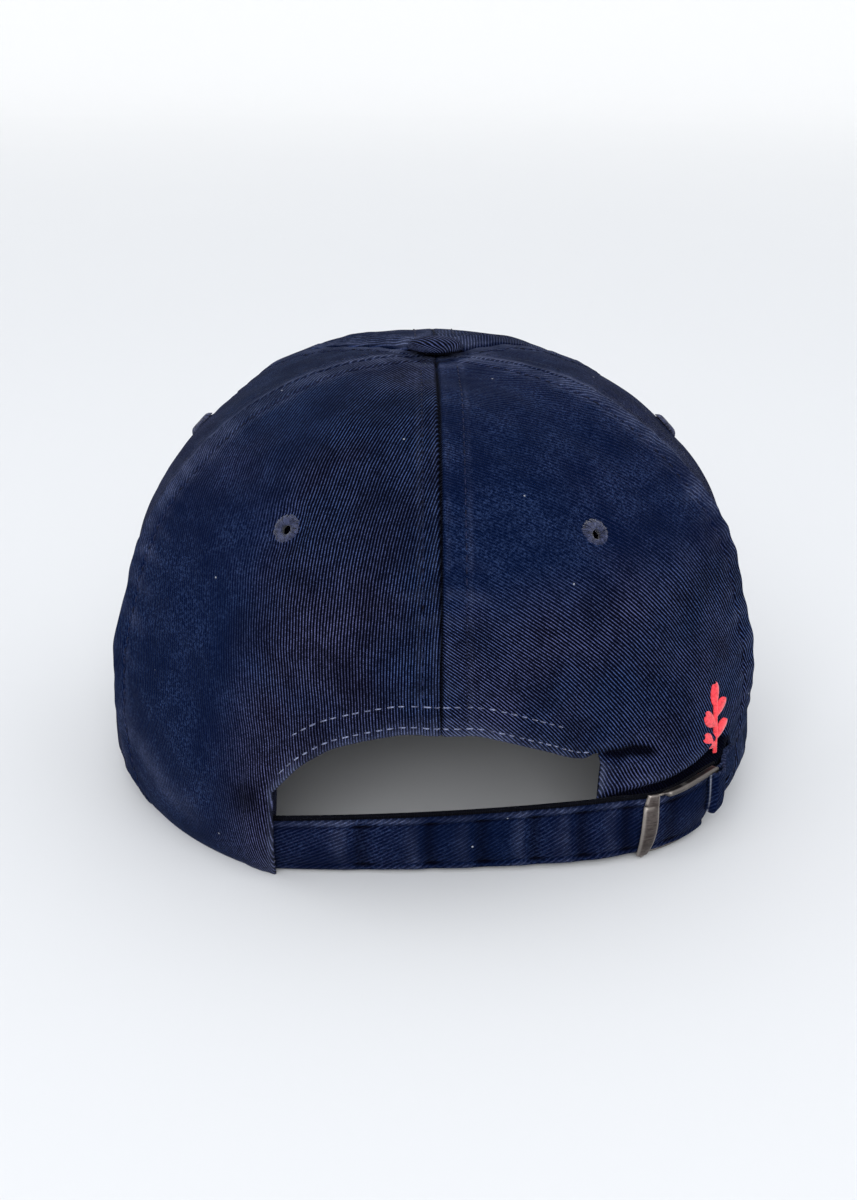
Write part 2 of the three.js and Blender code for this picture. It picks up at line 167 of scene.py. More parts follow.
STRAIGHT_ON = {"mode": "reflect", "reflect_type": "odd"}
HELD = {"mode": "edge"}


def rounded(distance, radius, least=0.02):
    """How full a rounded edge is at a distance from it: 1 past a radius, and at least a little."""
    return np.sqrt(np.clip(1 - (1 - np.clip(distance / radius, 0, 1)) ** 2, least, 1))


# The crown's surface

def belly_radius(azimuth):
    turn = np.radians(azimuth)
    reach = np.where(np.cos(turn) > 0, CROWN_BACK_REACH, CROWN_FRONT_REACH)
    return 1 / np.hypot(np.sin(turn) / CROWN_HALF_WIDTH, np.cos(turn) / reach)


def panel_of(azimuth):
    """The panel's number from the back, 0 to 2, at each azimuth."""
    turn = np.abs(signed(azimuth))
    return np.where(turn < SEAMS[1], 0, np.where(turn < SEAMS[2], 1, 2))


def rib_share(azimuth):
    turn = np.abs(signed(azimuth))
    seams = np.array(SEAMS)
    panel = panel_of(azimuth)
    from_middle = turn - (seams[panel] + seams[panel + 1]) / 2
    return (1 / np.cos(np.radians(from_middle)) - 1) / (1 / math.cos(math.radians(30)) - 1)


def strap_dip(azimuth, height):
    across = (signed(azimuth) - STRAP_PULL_AZIMUTH) / STRAP_PULL_SPREAD
    below = STRAP_PULL_AT_RIM + (1 - STRAP_PULL_AT_RIM) * height / BELLY_HEIGHT
    above = 1 - smooth((height - BELLY_HEIGHT) / (STRAP_PULL_HEIGHT - BELLY_HEIGHT))
    return STRAP_PULL * np.exp(-across ** 2) * np.where(height < BELLY_HEIGHT, below, above)


def outline(azimuth, up):
    """Radius and height at shares of the way up."""
    azimuth, up = np.broadcast_arrays(np.asarray(azimuth, float), np.asarray(up, float))
    belly = belly_radius(azimuth)
    rise = np.clip(up / BELLY_SHARE, 0, 1)
    left = np.clip(1 - (up - BELLY_SHARE) / (1 - BELLY_SHARE), 0, 1)
    angle = (1 - left ** SHOULDER_EASE) * math.pi / 2
    dome_height = BELLY_HEIGHT + (CROWN_HEIGHT - BELLY_HEIGHT) * np.sin(angle) ** SHOULDER_RISE_POWER
    height = np.where(up < BELLY_SHARE, BELLY_HEIGHT * rise, dome_height)
    rib = RIB_RISE * smooth(height / RIB_FULL_HEIGHT) * (rib_share(azimuth) - 0.5)
    width = np.maximum(np.cos(angle), 0) ** SHOULDER_WIDTH_POWER
    dome = APEX_HOLE + (belly + rib - APEX_HOLE) * width
    radius = np.where(up < BELLY_SHARE, belly - RIM_TUCK * (1 - rise) ** 2 + rib, dome)
    return radius - strap_dip(azimuth, height), height


def share_at_height(height):
    height = np.asarray(height, float)
    rise = np.clip((height - BELLY_HEIGHT) / (CROWN_HEIGHT - BELLY_HEIGHT), 0, 1)
    turn = np.arcsin(rise ** (1 / SHOULDER_RISE_POWER)) / (math.pi / 2)
    dome = BELLY_SHARE + (1 - BELLY_SHARE) * (1 - (1 - turn) ** (1 / SHOULDER_EASE))
    return np.where(height < BELLY_HEIGHT, BELLY_SHARE * height / BELLY_HEIGHT, dome)


def peak_top(x):
    return PEAK_THICKNESS + PEAK_ARCH * (1 - (x / PEAK_HALF_WIDTH) ** 2)


# The corner of the wall below the loop's slit, pulled in by the strap
CORNER_TUCK = 1.1
CORNER_AZIMUTH = 54.0
CORNER_SPREAD = 7.0
CORNER_HEIGHT = 6.0
CORNER_RISE = 6.0


def crown_point(azimuth, up, out=0.0):
    """Points on the crown, or out from it by a distance; the front rim rides on the peak."""
    up = np.asarray(up, float)
    step = 1e-3
    low_r, low_z = outline(azimuth, np.maximum(up - step, 0))
    high_r, high_z = outline(azimuth, np.minimum(up + step, 1))
    radius, height = outline(azimuth, up)
    slope = np.hypot(high_r - low_r, high_z - low_z)
    level = smooth(up / BELLY_SHARE)
    corner = hump(signed(azimuth) - CORNER_AZIMUTH, CORNER_SPREAD)
    corner = corner * hump(height - CORNER_HEIGHT, CORNER_RISE)
    radius = radius + out * (1 - level + level * (high_z - low_z) / slope) - CORNER_TUCK * corner
    rise = height + out * level * (low_r - high_r) / slope
    turn = np.radians(azimuth)
    rim_x = (outline(azimuth, 0)[0] + out) * np.sin(turn)
    on_peak = smooth((np.abs(signed(azimuth)) - PEAK_END_AZIMUTH + PEAK_EASE) / PEAK_EASE)
    fade = np.maximum(1 - rise / LIFT_FADE_HEIGHT, 0) ** 2
    lift = on_peak * (peak_top(rim_x) + GAP) * fade
    y = -radius * np.cos(turn) + APEX_SHIFT * rise / CROWN_HEIGHT
    return np.stack(np.broadcast_arrays(radius * np.sin(turn), y, rise + lift), axis=-1)


def wall_point(azimuth, height, out=0.0):
    return crown_point(azimuth, share_at_height(height), out)


# Smooth random fields, the same each run

WAVES = 12


def wave_field(seed, wavelength):
    """A smooth random function of two or three coordinates, about -1 to 1, with a typical wavelength."""
    draw = np.random.default_rng(SEED + seed)
    directions = unit(draw.normal(size=(WAVES, 3)))
    rates = 2 * math.pi / (wavelength * draw.uniform(0.7, 1.6, WAVES))
    phases = draw.uniform(0, 2 * math.pi, WAVES)

    def field(points):
        points = np.asarray(points, float)
        waves = np.cos(points @ (directions * rates[:, None])[:, :points.shape[-1]].T + phases)
        return waves.sum(axis=-1) / math.sqrt(WAVES / 2) * 0.7

    return field


# Distances over the cloth

UP_TABLE = np.linspace(0, 1, 801)


def rise_columns(azimuths):
    """Distances up the crown at each share of UP_TABLE, for several azimuths."""
    return run_along(crown_point(np.asarray(azimuths)[:, None], UP_TABLE[None, :]))


MIDDLE_RISE = rise_columns([-SEAMS[1] / 2])[0]
BELOW_FLOOR = -9.0


def opening_outline():
    """The opening's edge in the XZ plane: up the left end, over the arch and down the right end."""
    across = np.linspace(-1, 1, 240)
    rise = np.interp(across, OPENING_ACROSS, OPENING_RISE)
    height = OPENING_END_HEIGHT + rise * (OPENING_HEIGHT - OPENING_END_HEIGHT)
    arch = averaged(np.stack([across * OPENING_HALF_WIDTH, height], axis=1), bell(25), **STRAIGHT_ON)
    return np.concatenate([
        [[-OPENING_HALF_WIDTH, BELOW_FLOOR]],
        arch,
        [[OPENING_HALF_WIDTH, BELOW_FLOOR]],
    ])


OPENING = opening_outline()


def arch_height(x):
    return np.interp(x, OPENING[1:-1, 0], OPENING[1:-1, 1])


def opening_distance(x, z):
    """How far a point of the XZ plane lies from the opening's edge."""
    start, end = OPENING[:-1], OPENING[1:]
    run = end - start
    point = np.stack(np.broadcast_arrays(x, z), axis=-1)[..., None, :]
    share = ((point - start) * run).sum(-1) / (run ** 2).sum(-1)
    nearest = start + np.clip(share, 0, 1)[..., None] * run
    return np.linalg.norm(point - nearest, axis=-1).min(axis=-1)


# The cloth's relief: seams, hems, puckers and soft dents

EYELETS = {
    "eyelet_back_left": (-31.3, 90.0),
    "eyelet_back_right": (32.0, 89.0),
    "eyelet_side_left": (-95.3, 99.0),
    "eyelet_side_right": (95.3, 99.0),
    "eyelet_front_left": (-152.4, 92.0),
    "eyelet_front_right": (152.4, 92.0),
}
EYELET_HOLE = 1.5
EYELET_OUTER = 4.1
EYELET_CUT = 2.1
SEAM_LINES = {0.0: 0.25, 65.8: 0.45, -65.8: 0.45, 124.8: 0.7, -124.8: 0.7, 180.0: 0.5}
SEAM_DEPTHS = {0.0: 1.1, 65.8: 0.7, -65.8: 0.7, 124.8: 0.5, -124.8: 0.5, 180.0: 0.35}

# Creases that the pulled strap leaves on the right, by azimuth and height: depth, width and lip; each
# groove also gets painted shade and each lip a painted highlight
CREASES = (
    (((26, 31.5), (30, 31.4), (36, 31.6), (42, 29.5)), 1.3, 1.7, 0.4),
    (((30, 18.5), (36, 18.9), (42, 20.4), (47, 22.2), (51, 24.4), (55, 27), (58, 31)), 2.2, 1.5, 1.1),
    (((61.5, 3), (59.6, 9), (58.2, 16), (57.2, 22), (56.4, 27)), 2.0, 0.9, 0.6),
    (((-66, 38), (-60, 25), (-50, 15), (-38, 9)), -0.35, 4.0, 0.0),
)

# The slow shape of the cloth: how far it hangs in or out, at what height and how widely
SLACK_DEPTH = 0.6
SAG_DEPTH = 0.3
CRUMPLE_DEPTH = 0.12
SHOULDER_DRAW = 2.2
SHOULDER_HEIGHT = 101.0
SHOULDER_SPREAD = 14.0
LEFT_FULLNESS = 0.55
LEFT_FULL_AZIMUTH = -85.0
LEFT_FULL_SPREAD = 40.0
FRONT_SWELL = 2.6
FRONT_SWELL_HALF = 34.0
FRONT_SWELL_EASE = 26.0
FRONT_SWELL_HEIGHT = 104.0
FRONT_SWELL_RISE = 8.0
TOP_DRAW = 1.0
TOP_DRAW_HEIGHT = 114.0
TOP_DRAW_SPREAD = 8.0
WAIST_DRAW = 2.2
WAIST_HEIGHT = 60.0
WAIST_SPREAD = 15.0

# The cloth round an eyelet: a ring pressed in, and a middle that stands out at the sides
EYELET_PRESS = 0.5
EYELET_SIDE_SWELL = 0.9

# The upper edge of the painted shadow beside and above the strap, by azimuth
SHADE_AZIMUTHS = (30, 36, 42, 47, 51, 55)
SHADE_TOPS = (17.5, 18.3, 19.8, 21.4, 23.4, 25.5)

slack = wave_field(1, 62.0)
sag = wave_field(2, 26.0)
crumple = wave_field(3, 11.0)
drift = wave_field(4, 34.0)
strength = wave_field(5, 22.0)


def pucker(along, across, seed_shift, pitch=7.5):
    """Small folds that cross a seam, about -1 to 1."""
    where = np.stack([along, along * 0 + seed_shift], axis=-1)
    phase = 2 * math.pi * (along + 0.3 * across) / pitch + 2.6 * drift(where)
    return np.sin(phase) * (0.65 + 0.45 * strength(where))


def crease_distance(azimuth, height, line):
    """Distance over the cloth to a line of (azimuth, height) points, and how far along it that is."""
    scale = math.radians(1) * CROWN_HALF_WIDTH
    place = np.stack([signed(azimuth) * scale, height], axis=-1)[..., None, :]
    knots = np.array(line, float) * (scale, 1)
    run = np.diff(knots, axis=0)
    share = np.clip(((place - knots[:-1]) * run).sum(-1) / (run ** 2).sum(-1), 0, 1)
    gap = np.linalg.norm(place - knots[:-1] - share[..., None] * run, axis=-1)
    nearest = gap.argmin(axis=-1)
    along = (nearest + np.take_along_axis(share, nearest[..., None], -1)[..., 0]) / len(run)
    return gap.min(axis=-1), along


def slack_relief(azimuth, height, base, edge, near_apex):
    """The slow shape of the cloth, and its fine crumple."""
    front = 1 - smooth((np.abs(signed(azimuth - 180)) - FRONT_SWELL_HALF) / FRONT_SWELL_EASE)
    fuller = 1 - LEFT_FULLNESS * hump(signed(azimuth - LEFT_FULL_AZIMUTH), LEFT_FULL_SPREAD)
    swell = smooth((height - FRONT_SWELL_HEIGHT) / FRONT_SWELL_RISE) * near_apex
    sides = np.sin(np.radians(azimuth)) ** 4
    out = (SLACK_DEPTH * slack(base) + SAG_DEPTH * sag(base)) * smooth(edge / 16) * near_apex
    out = out - SHOULDER_DRAW * fuller * hump(height - SHOULDER_HEIGHT, SHOULDER_SPREAD)
    out = out - (1 - front) * TOP_DRAW * hump(height - TOP_DRAW_HEIGHT, TOP_DRAW_SPREAD)
    out = out + front * FRONT_SWELL * swell
    out = out - WAIST_DRAW * hump(height - WAIST_HEIGHT, WAIST_SPREAD) * sides
    return out + CRUMPLE_DEPTH * crumple(base) * smooth(edge / 6)


def seam_relief(seam, azimuth, radius, height, rise, near_apex):
    """What one seam and its stitched rows add to the relief, and to the fading and painted light."""
    amount = SEAM_LINES[seam]
    turn = signed(azimuth)
    distance = radius * np.radians(np.abs(signed(azimuth - seam)))
    row = STITCH_OFFSET
    if seam == 0:
        row = np.where(turn < 0, -BACK_SEAM_ROWS[0], BACK_SEAM_ROWS[1])
    inner = smooth(distance / 1.2) * (1 - smooth((distance - row - 2) / 7))
    fewer = 1 - 0.6 * smooth((height - 85) / 25)
    folds = pucker(rise, distance, seam) * inner * amount * near_apex * fewer
    allowance = 0.45 * smooth(distance / 1.0) * (1 - smooth((distance - row + 0.6) / 1.8))
    flat = smooth((height - 104) / 6) * (0.8 if seam == 180 else 0.0)
    sunk = -SEAM_DEPTHS[seam] * hump(distance, 0.5) - 0.3 * hump(distance - row, 0.6)
    out = (allowance + sunk) * (0.15 + 0.85 * near_apex) * (1 - flat) + 0.55 * folds
    wear_and_painted_light = 0.5 * amount * hump(distance - 1.4, 1.0) - 0.9 * hump(distance, 0.6)
    # Pucker tops are faded; painted shade darkens the pucker valleys
    wear_and_painted_light = wear_and_painted_light + 0.5 * np.maximum(folds, 0) - 0.45 * np.maximum(-folds, 0)
    wear_and_painted_light = wear_and_painted_light + 0.2 * hump(distance - row - 1.0, 0.7)
    # On the side seams, a painted highlight along the fold edge just past the seam and painted shade on the
    # side panel beyond it
    if abs(seam) == SEAMS[1]:
        beyond = distance * np.sign(np.abs(turn) - SEAMS[1])
        wear_and_painted_light = wear_and_painted_light + 0.75 * hump(beyond - 1.5, 0.9) - 0.35 * hump(beyond - 4.5, 2.5)
    if seam != 0:
        wear_and_painted_light = wear_and_painted_light + 0.45 * smooth((height - 55) / 35) * hump(distance - 3.5, 3.2)
    return out, wear_and_painted_light


def crease_relief(azimuth, height, line, depth, width, lip):
    """What one crease adds to the relief and to the painted light: a groove with a lip beside it; the
    groove gets painted shade, turned to a painted highlight where a negative depth raises it, and the lip a
    painted highlight.
    """
    gap, along = crease_distance(azimuth, height, line)
    fade = smooth(4 * along) * smooth(4 * (1 - along)) * (np.abs(signed(azimuth)) < 90)
    groove = fade * hump(gap, width)
    beside = fade * hump(gap - 2.2 * width, width)
    return lip * beside - depth * groove, 0.25 * lip * beside - 1.2 * np.clip(depth, -1, 1) * groove


def relief(azimuth, up):
    """How far the cloth stands out from the crown's plain surface, and its fading and painted light: -1 is
    painted shade, 1 is faded cloth and painted highlights.
    """
    azimuth, up = np.broadcast_arrays(np.asarray(azimuth, float), np.asarray(up, float))
    base = crown_point(azimuth, up)
    radius, height = outline(azimuth, up)
    turn = signed(azimuth)
    rise = np.interp(up, UP_TABLE, MIDDLE_RISE)
    rim = np.where(np.abs(turn) < 92, base[..., 2], rise)
    back = (np.abs(turn) < 62) & (base[..., 1] < 0)
    opening = np.where(back, opening_distance(base[..., 0], base[..., 2]), 99.0)
    edge = np.minimum(opening, rim)
    near_apex = smooth((1 - up) / 0.1)
    out = slack_relief(azimuth, height, base, edge, near_apex)
    wear_and_painted_light = 1.0 * hump(edge - 0.2, 0.9) + 0.25 * hump(opening - HEM_INNER_ROW, 1.5)
    for seam in SEAM_LINES:
        more_out, more_wear_and_painted_light = seam_relief(seam, azimuth, radius, height, rise, near_apex)
        out = out + more_out
        wear_and_painted_light = wear_and_painted_light + more_wear_and_painted_light
    hem_folds = np.sin(2 * math.pi * base[..., 0] / 4.2 + 2 * drift(base)) * hump(opening - 4, 4)
    out = out + np.where(back, 0.5 * (1 - smooth((opening - HEM_WIDTH) / 1.4)) + 0.1 * hem_folds, 0)
    out = out - 0.22 * hump(opening - HEM_WIDTH, 0.6) - 0.2 * hump(opening - HEM_INNER_ROW, 0.5)
    for eye_azimuth, eye_height in EYELETS.values():
        distance = np.linalg.norm(base - wall_point(eye_azimuth, eye_height), axis=-1)
        swell = EYELET_SIDE_SWELL if abs(eye_azimuth) > 90 else -EYELET_PRESS
        out = out - EYELET_PRESS * hump(distance - 5.0, 2.0) + swell * hump(distance, 4.5)
    for crease in CREASES:
        more_out, more_wear_and_painted_light = crease_relief(azimuth, height, *crease)
        out = out + more_out
        wear_and_painted_light = wear_and_painted_light + more_wear_and_painted_light
    # Under and beside the strap on the right the cloth is sunk and darkened by painted shade; above it a
    # painted shadow reaches up to SHADE_TOPS
    beside_strap = smooth((turn - 26) / 4) * (1 - smooth((turn - 57) / 3))
    bed = beside_strap * (1 - smooth((height - 17) / 4.5))
    shade_top = np.interp(turn, SHADE_AZIMUTHS, SHADE_TOPS)
    shade = smooth((turn - 28) / 3) * (1 - smooth((turn - 57) / 2))
    shade = shade * (1 - smooth((height - shade_top) / 1.8))
    # Painted shadow in a ring round the button, with a painted light halo just outside it
    button_shadow_and_halo = 0.5 * hump(radius - 12.5, 2.2) - 0.9 * hump(radius - 8.8, 1.1)
    # Besides the painted shadow above the strap and the button's ring, painted shade in the corner by the
    # opening's left end, above the strap
    wear_and_painted_light = wear_and_painted_light - 1.3 * shade + button_shadow_and_halo - 0.6 * hump(turn + 31, 4.5) * hump(height - 22, 6)
    out = out * (1 - bed) - 0.25 * bed
    wear_and_painted_light = np.where(bed > 0, wear_and_painted_light * (1 - bed) - 0.8 * bed * smooth(opening / 3), wear_and_painted_light)
    return out, np.clip(wear_and_painted_light, -1, 1)


def cloth_point(azimuth, up, extra=0.0):
    return crown_point(azimuth, up, relief(azimuth, up)[0] + extra)


# Meshes

def new_object(name, vertices, faces, materials):
    mesh = bpy.data.meshes.new(name)
    mesh.from_pydata([tuple(v) for v in vertices], [], faces)
    mesh.validate()
    for material in materials:
        mesh.materials.append(material)
    mesh.polygons.foreach_set("use_smooth", [True] * len(mesh.polygons))
    mesh.update()
    piece = bpy.data.objects.new(name, mesh)
    bpy.context.scene.collection.objects.link(piece)
    return piece


def set_uv(piece, coordinates):
    """A UV map that gives each corner its vertex's own coordinates."""
    layer = piece.data.uv_layers.new(name="cloth")
    loops = np.empty(len(piece.data.loops), int)
    piece.data.loops.foreach_get("vertex_index", loops)
    layer.data.foreach_set("uv", np.asarray(coordinates, float)[loops].ravel())


def set_attribute(piece, name, values):
    attribute = piece.data.attributes.new(name, "FLOAT", "POINT")
    attribute.data.foreach_set("value", np.asarray(values, np.float32))


def dress(piece, nodes):
    """Attach a piece to the part's root, and hide the solids that it stands for."""
    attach(piece, "root")
    if nodes:
        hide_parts(*nodes)
    return piece


def graded(length, fine_start, fine_end, fine, coarse):
    """Steps from 0 to a length, fine near the ends asked for and growing to coarse between them."""
    places = [0.0]
    while places[-1] < length:
        here = places[-1]
        near = min(here if fine_start else length, length - here if fine_end else length)
        places.append(here + fine + (coarse - fine) * float(smooth((near - 8.0) / 8.0)))
    return np.array(places) * length / places[-1]


EDGE_STEPS = np.array([0.0, 0.12, 0.35, 0.7, 1.2, 1.8])
EDGE_NEXT = 0.75


def edge_first(length, coarse):
    """Steps from a free edge: close together where it is rounded, then even."""
    rest = np.arange(EDGE_STEPS[-1] + EDGE_NEXT, length, coarse)
    if length - rest[-1] <= 0.3 * coarse:
        rest = rest[:-1]
    return np.concatenate([EDGE_STEPS, rest, [length]])


def azimuth_at(x, up):
    """The azimuth at which the crown's back has an x, at a share of the way up."""
    azimuth = np.degrees(np.arcsin(np.clip(x / 90, -1, 1)))
    for _ in range(12):
        azimuth = np.degrees(np.arcsin(np.clip(x / outline(azimuth, up)[0], -1, 1)))
    return azimuth


def end_azimuth(side, height):
    """The azimuth at which the wall at a height has the x of the opening's end."""
    return azimuth_at(side * OPENING_HALF_WIDTH, share_at_height(height))


def ring_faces(columns, rows, inward=False):
    """The quads of a grid that closes on itself, column after column."""
    faces = []
    for i in range(columns):
        for a in range(i * rows, i * rows + rows - 1):
            b = (a + rows) % (columns * rows)
            faces.append((a, a + 1, b + 1, b) if inward else (a, b, b + 1, a + 1))
    return faces


# Materials

class Graph:
    """A short way to write a material's nodes: each method returns an output socket."""

    def __init__(self, name):
        self.material = bpy.data.materials.new(name)
        self.material.use_nodes = True
        self.tree = self.material.node_tree
        self.shader = self.tree.nodes["Principled BSDF"]

    def node(self, kind, **settings):
        made = self.tree.nodes.new("ShaderNode" + kind)
        for key, value in settings.items():
            setattr(made, key, value)
        return made

    def feed(self, socket, value):
        if isinstance(value, bpy.types.NodeSocket):
            self.tree.links.new(value, socket)
        else:
            socket.default_value = value

    def math(self, operation, *values, clamp=False):
        made = self.node("Math", operation=operation, use_clamp=clamp)
        for socket, value in zip(made.inputs, values):
            self.feed(socket, value)
        return made.outputs[0]

    def times(self, first, *others):
        for other in others:
            first = self.math("MULTIPLY", first, other)
        return first

    def plus(self, first, *others):
        for other in others:
            first = self.math("ADD", first, other)
        return first

    def scaled(self, value, factor, shift):
        return self.math("MULTIPLY_ADD", value, factor, shift)

    def from_middle(self, value):
        """How far a value lies from the middle between two whole numbers, 0 to 0.5."""
        return self.math("ABSOLUTE", self.math("SUBTRACT", self.math("FRACT", value), 0.5))

    def mix(self, factor, first, second):
        made = self.node("Mix", data_type="RGBA", clamp_factor=False)
        for label, value in (("Factor", factor), ("A", first), ("B", second)):
            self.feed(made.inputs[label], value)
        return made.outputs["Result"]

    def spread(self, value, low, high, to_low=0.0, to_high=1.0):
        """A value's range taken to another range, smoothly and within its ends."""
        made = self.node("MapRange", interpolation_type="SMOOTHSTEP")
        labels = ("Value", "From Min", "From Max", "To Min", "To Max")
        for label, number in zip(labels, (value, low, high, to_low, to_high)):
            self.feed(made.inputs[label], number)
        return made.outputs["Result"]

    def noise(self, vector, scale, detail=2.0, roughness=0.5):
        made = self.node("TexNoise")
        labels = ("Vector", "Scale", "Detail", "Roughness")
        for label, value in zip(labels, (vector, scale, detail, roughness)):
            self.feed(made.inputs[label], value)
        return made.outputs["Fac"]

    def attribute(self, name):
        return self.node("Attribute", attribute_name=name).outputs["Fac"]

    def object_place(self):
        return self.node("TexCoord").outputs["Object"]

    def uv(self):
        split = self.node("SeparateXYZ")
        self.feed(split.inputs[0], self.node("UVMap", uv_map="cloth").outputs["UV"])
        return split.outputs["X"], split.outputs["Y"]

    def bump(self, height):
        """A normal from a height in metres."""
        made = self.node("Bump")
        made.inputs["Strength"].default_value = 1.0
        made.inputs["Distance"].default_value = 1.0
        self.feed(made.inputs["Height"], height)
        self.feed(self.shader.inputs["Normal"], made.outputs["Normal"])

    def finish(self, color, **values):
        self.feed(self.shader.inputs["Base Color"], color)
        for key, value in values.items():
            self.feed(self.shader.inputs[key.replace("_", " ")], value)
        return self.material


INDIGO_DARK = (0.0003, 0.0007, 0.0050, 1)
INDIGO_VALLEY_AND_SHADE = (0.0004, 0.0004, 0.0025, 1)
INDIGO_RIDGE = (0.056, 0.062, 0.142, 1)
INDIGO_RIDGE_BLUE = (0.026, 0.047, 0.125, 1)
INDIGO_CALM = (0.0006, 0.0040, 0.0230, 1)
INDIGO_FADED_AND_LIT = (0.105, 0.125, 0.22, 1)
LINT_AND_HIGHLIGHT = (0.42, 0.45, 0.52, 1)
SHEEN_BLUE = (0.55, 0.66, 1.0, 1)

# The twill's relief, in metres, and how far each rib's floats are set off from the last rib's
RIB_HEIGHT = 0.00013
FLOAT_HEIGHT = 0.00005
FUZZ_HEIGHT = 0.00005
FLOAT_STEP = 0.37


def twill_material(name, lean, pitch=TWILL_PITCH, contrast=1.0):
    """Washed twill: raised diagonal ribs made of short floats, uneven dye, and fading and painted light
    from the piece.
    """
    graph = Graph(name)
    place = graph.object_place()
    u, v = graph.uv()
    cosine = math.cos(math.radians(lean))
    sine = math.sin(math.radians(lean))
    across = graph.plus(
        graph.times(u, cosine / pitch),
        graph.times(v, sine / pitch),
        graph.times(graph.noise(place, 260.0), 0.34),
        graph.times(graph.noise(place, 42.0, 1.0), 1.1),
    )
    rib_number = graph.math("FLOOR", across)
    along = graph.plus(
        graph.times(u, -sine / TWILL_FLOAT),
        graph.times(v, cosine / TWILL_FLOAT),
        graph.times(rib_number, FLOAT_STEP),
    )
    from_crest = graph.from_middle(across)
    stripe = graph.spread(from_crest, 0.24, 0.02)
    rib = graph.spread(from_crest, 0.46, 0.08)
    bulge = graph.spread(graph.from_middle(along), 0.5, 0.1)
    cell = graph.node("CombineXYZ")
    graph.feed(cell.inputs[0], rib_number)
    graph.feed(cell.inputs[1], graph.math("FLOOR", along))
    draw = graph.node("TexWhiteNoise", noise_dimensions="2D")
    graph.feed(draw.inputs["Vector"], cell.outputs[0])
    fuzz = graph.noise(place, 2600.0, 3.0, 0.7)
    cloudy = graph.spread(graph.noise(place, 17.0, 3.0, 0.6), 0.36, 0.66)
    patchy = graph.spread(graph.noise(place, 75.0, 3.0, 0.62), 0.3, 0.72)

    # Ribs: how light each spot is, between the dark valleys and the light ridges
    light = graph.times(
        stripe,
        graph.scaled(draw.outputs["Value"], 1.0, 0.45),
        graph.scaled(bulge, 0.5, 0.5),
        graph.scaled(patchy, 0.8, 0.6),
        contrast,
    )
    light = graph.plus(light, graph.times(graph.spread(fuzz, 0.4, 0.8), 0.03))
    light = graph.math("MINIMUM", light, 1.6)
    valley = graph.mix(cloudy, INDIGO_VALLEY_AND_SHADE, INDIGO_DARK)
    color = graph.mix(light, valley, graph.mix(cloudy, INDIGO_RIDGE, INDIGO_RIDGE_BLUE))

    # Where the piece is calm, an even mottled navy takes over from the ribs
    grain = graph.spread(graph.noise(place, 1400.0, 3.0, 0.7), 0.45, 0.66)
    mottle = graph.times(grain, graph.scaled(patchy, 0.62, 0.08))
    even = graph.mix(mottle, INDIGO_CALM, INDIGO_RIDGE_BLUE)
    color = graph.mix(graph.times(graph.attribute("calm"), 0.85), color, even)

    # Fading and painted light from the piece: faded and then lint-white above 0, where real fading and
    # painted highlights meet; below 0 painted shade in the darkest navy
    wear_and_painted_light = graph.attribute("wear_and_painted_light")
    faded_and_lit = graph.times(
        graph.math("MAXIMUM", wear_and_painted_light, 0.0),
        graph.spread(patchy, 0.0, 0.9, 0.35, 1.0),
        graph.scaled(light, 0.75, 0.25),
    )
    faded_and_lit = graph.math("MULTIPLY", faded_and_lit, graph.spread(fuzz, 0.2, 0.8, 0.55, 1.1), clamp=True)
    color = graph.mix(faded_and_lit, color, INDIGO_FADED_AND_LIT)
    # Past about 1 the colour goes lint-white: the painted highlight along the loop's bend
    color = graph.mix(graph.spread(wear_and_painted_light, 0.95, 2.0, 0.0, 0.8), color, LINT_AND_HIGHLIGHT)
    # Painted shade: below 0 the colour sinks to the darkest navy
    color = graph.mix(graph.spread(wear_and_painted_light, -0.05, -0.9, 0.0, 0.95), color, INDIGO_VALLEY_AND_SHADE)

    # A few specks of lint
    speck = graph.node("TexVoronoi", feature="F1")
    graph.feed(speck.inputs["Vector"], place)
    graph.feed(speck.inputs["Scale"], 330.0)
    rare = graph.node("SeparateColor")
    graph.feed(rare.inputs[0], speck.outputs["Color"])
    lint = graph.times(
        graph.spread(speck.outputs["Distance"], 0.12, 0.05),
        graph.math("GREATER_THAN", rare.outputs[0], 0.975),
        0.6,
    )
    color = graph.mix(lint, color, LINT_AND_HIGHLIGHT)
    graph.bump(graph.plus(
        graph.times(rib, RIB_HEIGHT),
        graph.times(bulge, rib, FLOAT_HEIGHT),
        graph.times(fuzz, FUZZ_HEIGHT),
    ))
    return graph.finish(color, Roughness=0.95, Sheen_Weight=0.03, Sheen_Roughness=0.3,
                        Sheen_Tint=SHEEN_BLUE, Specular_IOR_Level=0.02)


def thread_material(name, dark, light, sheen=0.25):
    """Sewing thread, with a light and a dark lay along its twist."""
    graph = Graph(name)
    place = graph.object_place()
    tone = graph.noise(place, 900.0, 2.0, 0.6)
    graph.bump(graph.times(graph.noise(place, 3800.0, 1.0), 0.00004))
    color = graph.mix(graph.spread(tone, 0.3, 0.7), dark, light)
    return graph.finish(color, Roughness=0.6, Sheen_Weight=sheen, Specular_IOR_Level=0.1)


def band_material(name, dark, light):
    """Plain dark tape and lining: a fine even weave."""
    graph = Graph(name)
    u, v = graph.uv()
    weft = graph.spread(graph.from_middle(graph.times(u, 1.6)), 0.48, 0.1)
    warp = graph.spread(graph.from_middle(graph.times(v, 1.9)), 0.48, 0.1)
    weave = graph.times(weft, warp)
    uneven = graph.spread(graph.noise(graph.object_place(), 700.0, 3.0, 0.6), 0.3, 0.7, 0.3, 1.0)
    graph.bump(graph.times(weave, 0.00008))
    color = graph.mix(graph.times(weave, uneven), dark, light)
    return graph.finish(color, Roughness=0.9, Sheen_Weight=0.04, Specular_IOR_Level=0.05)


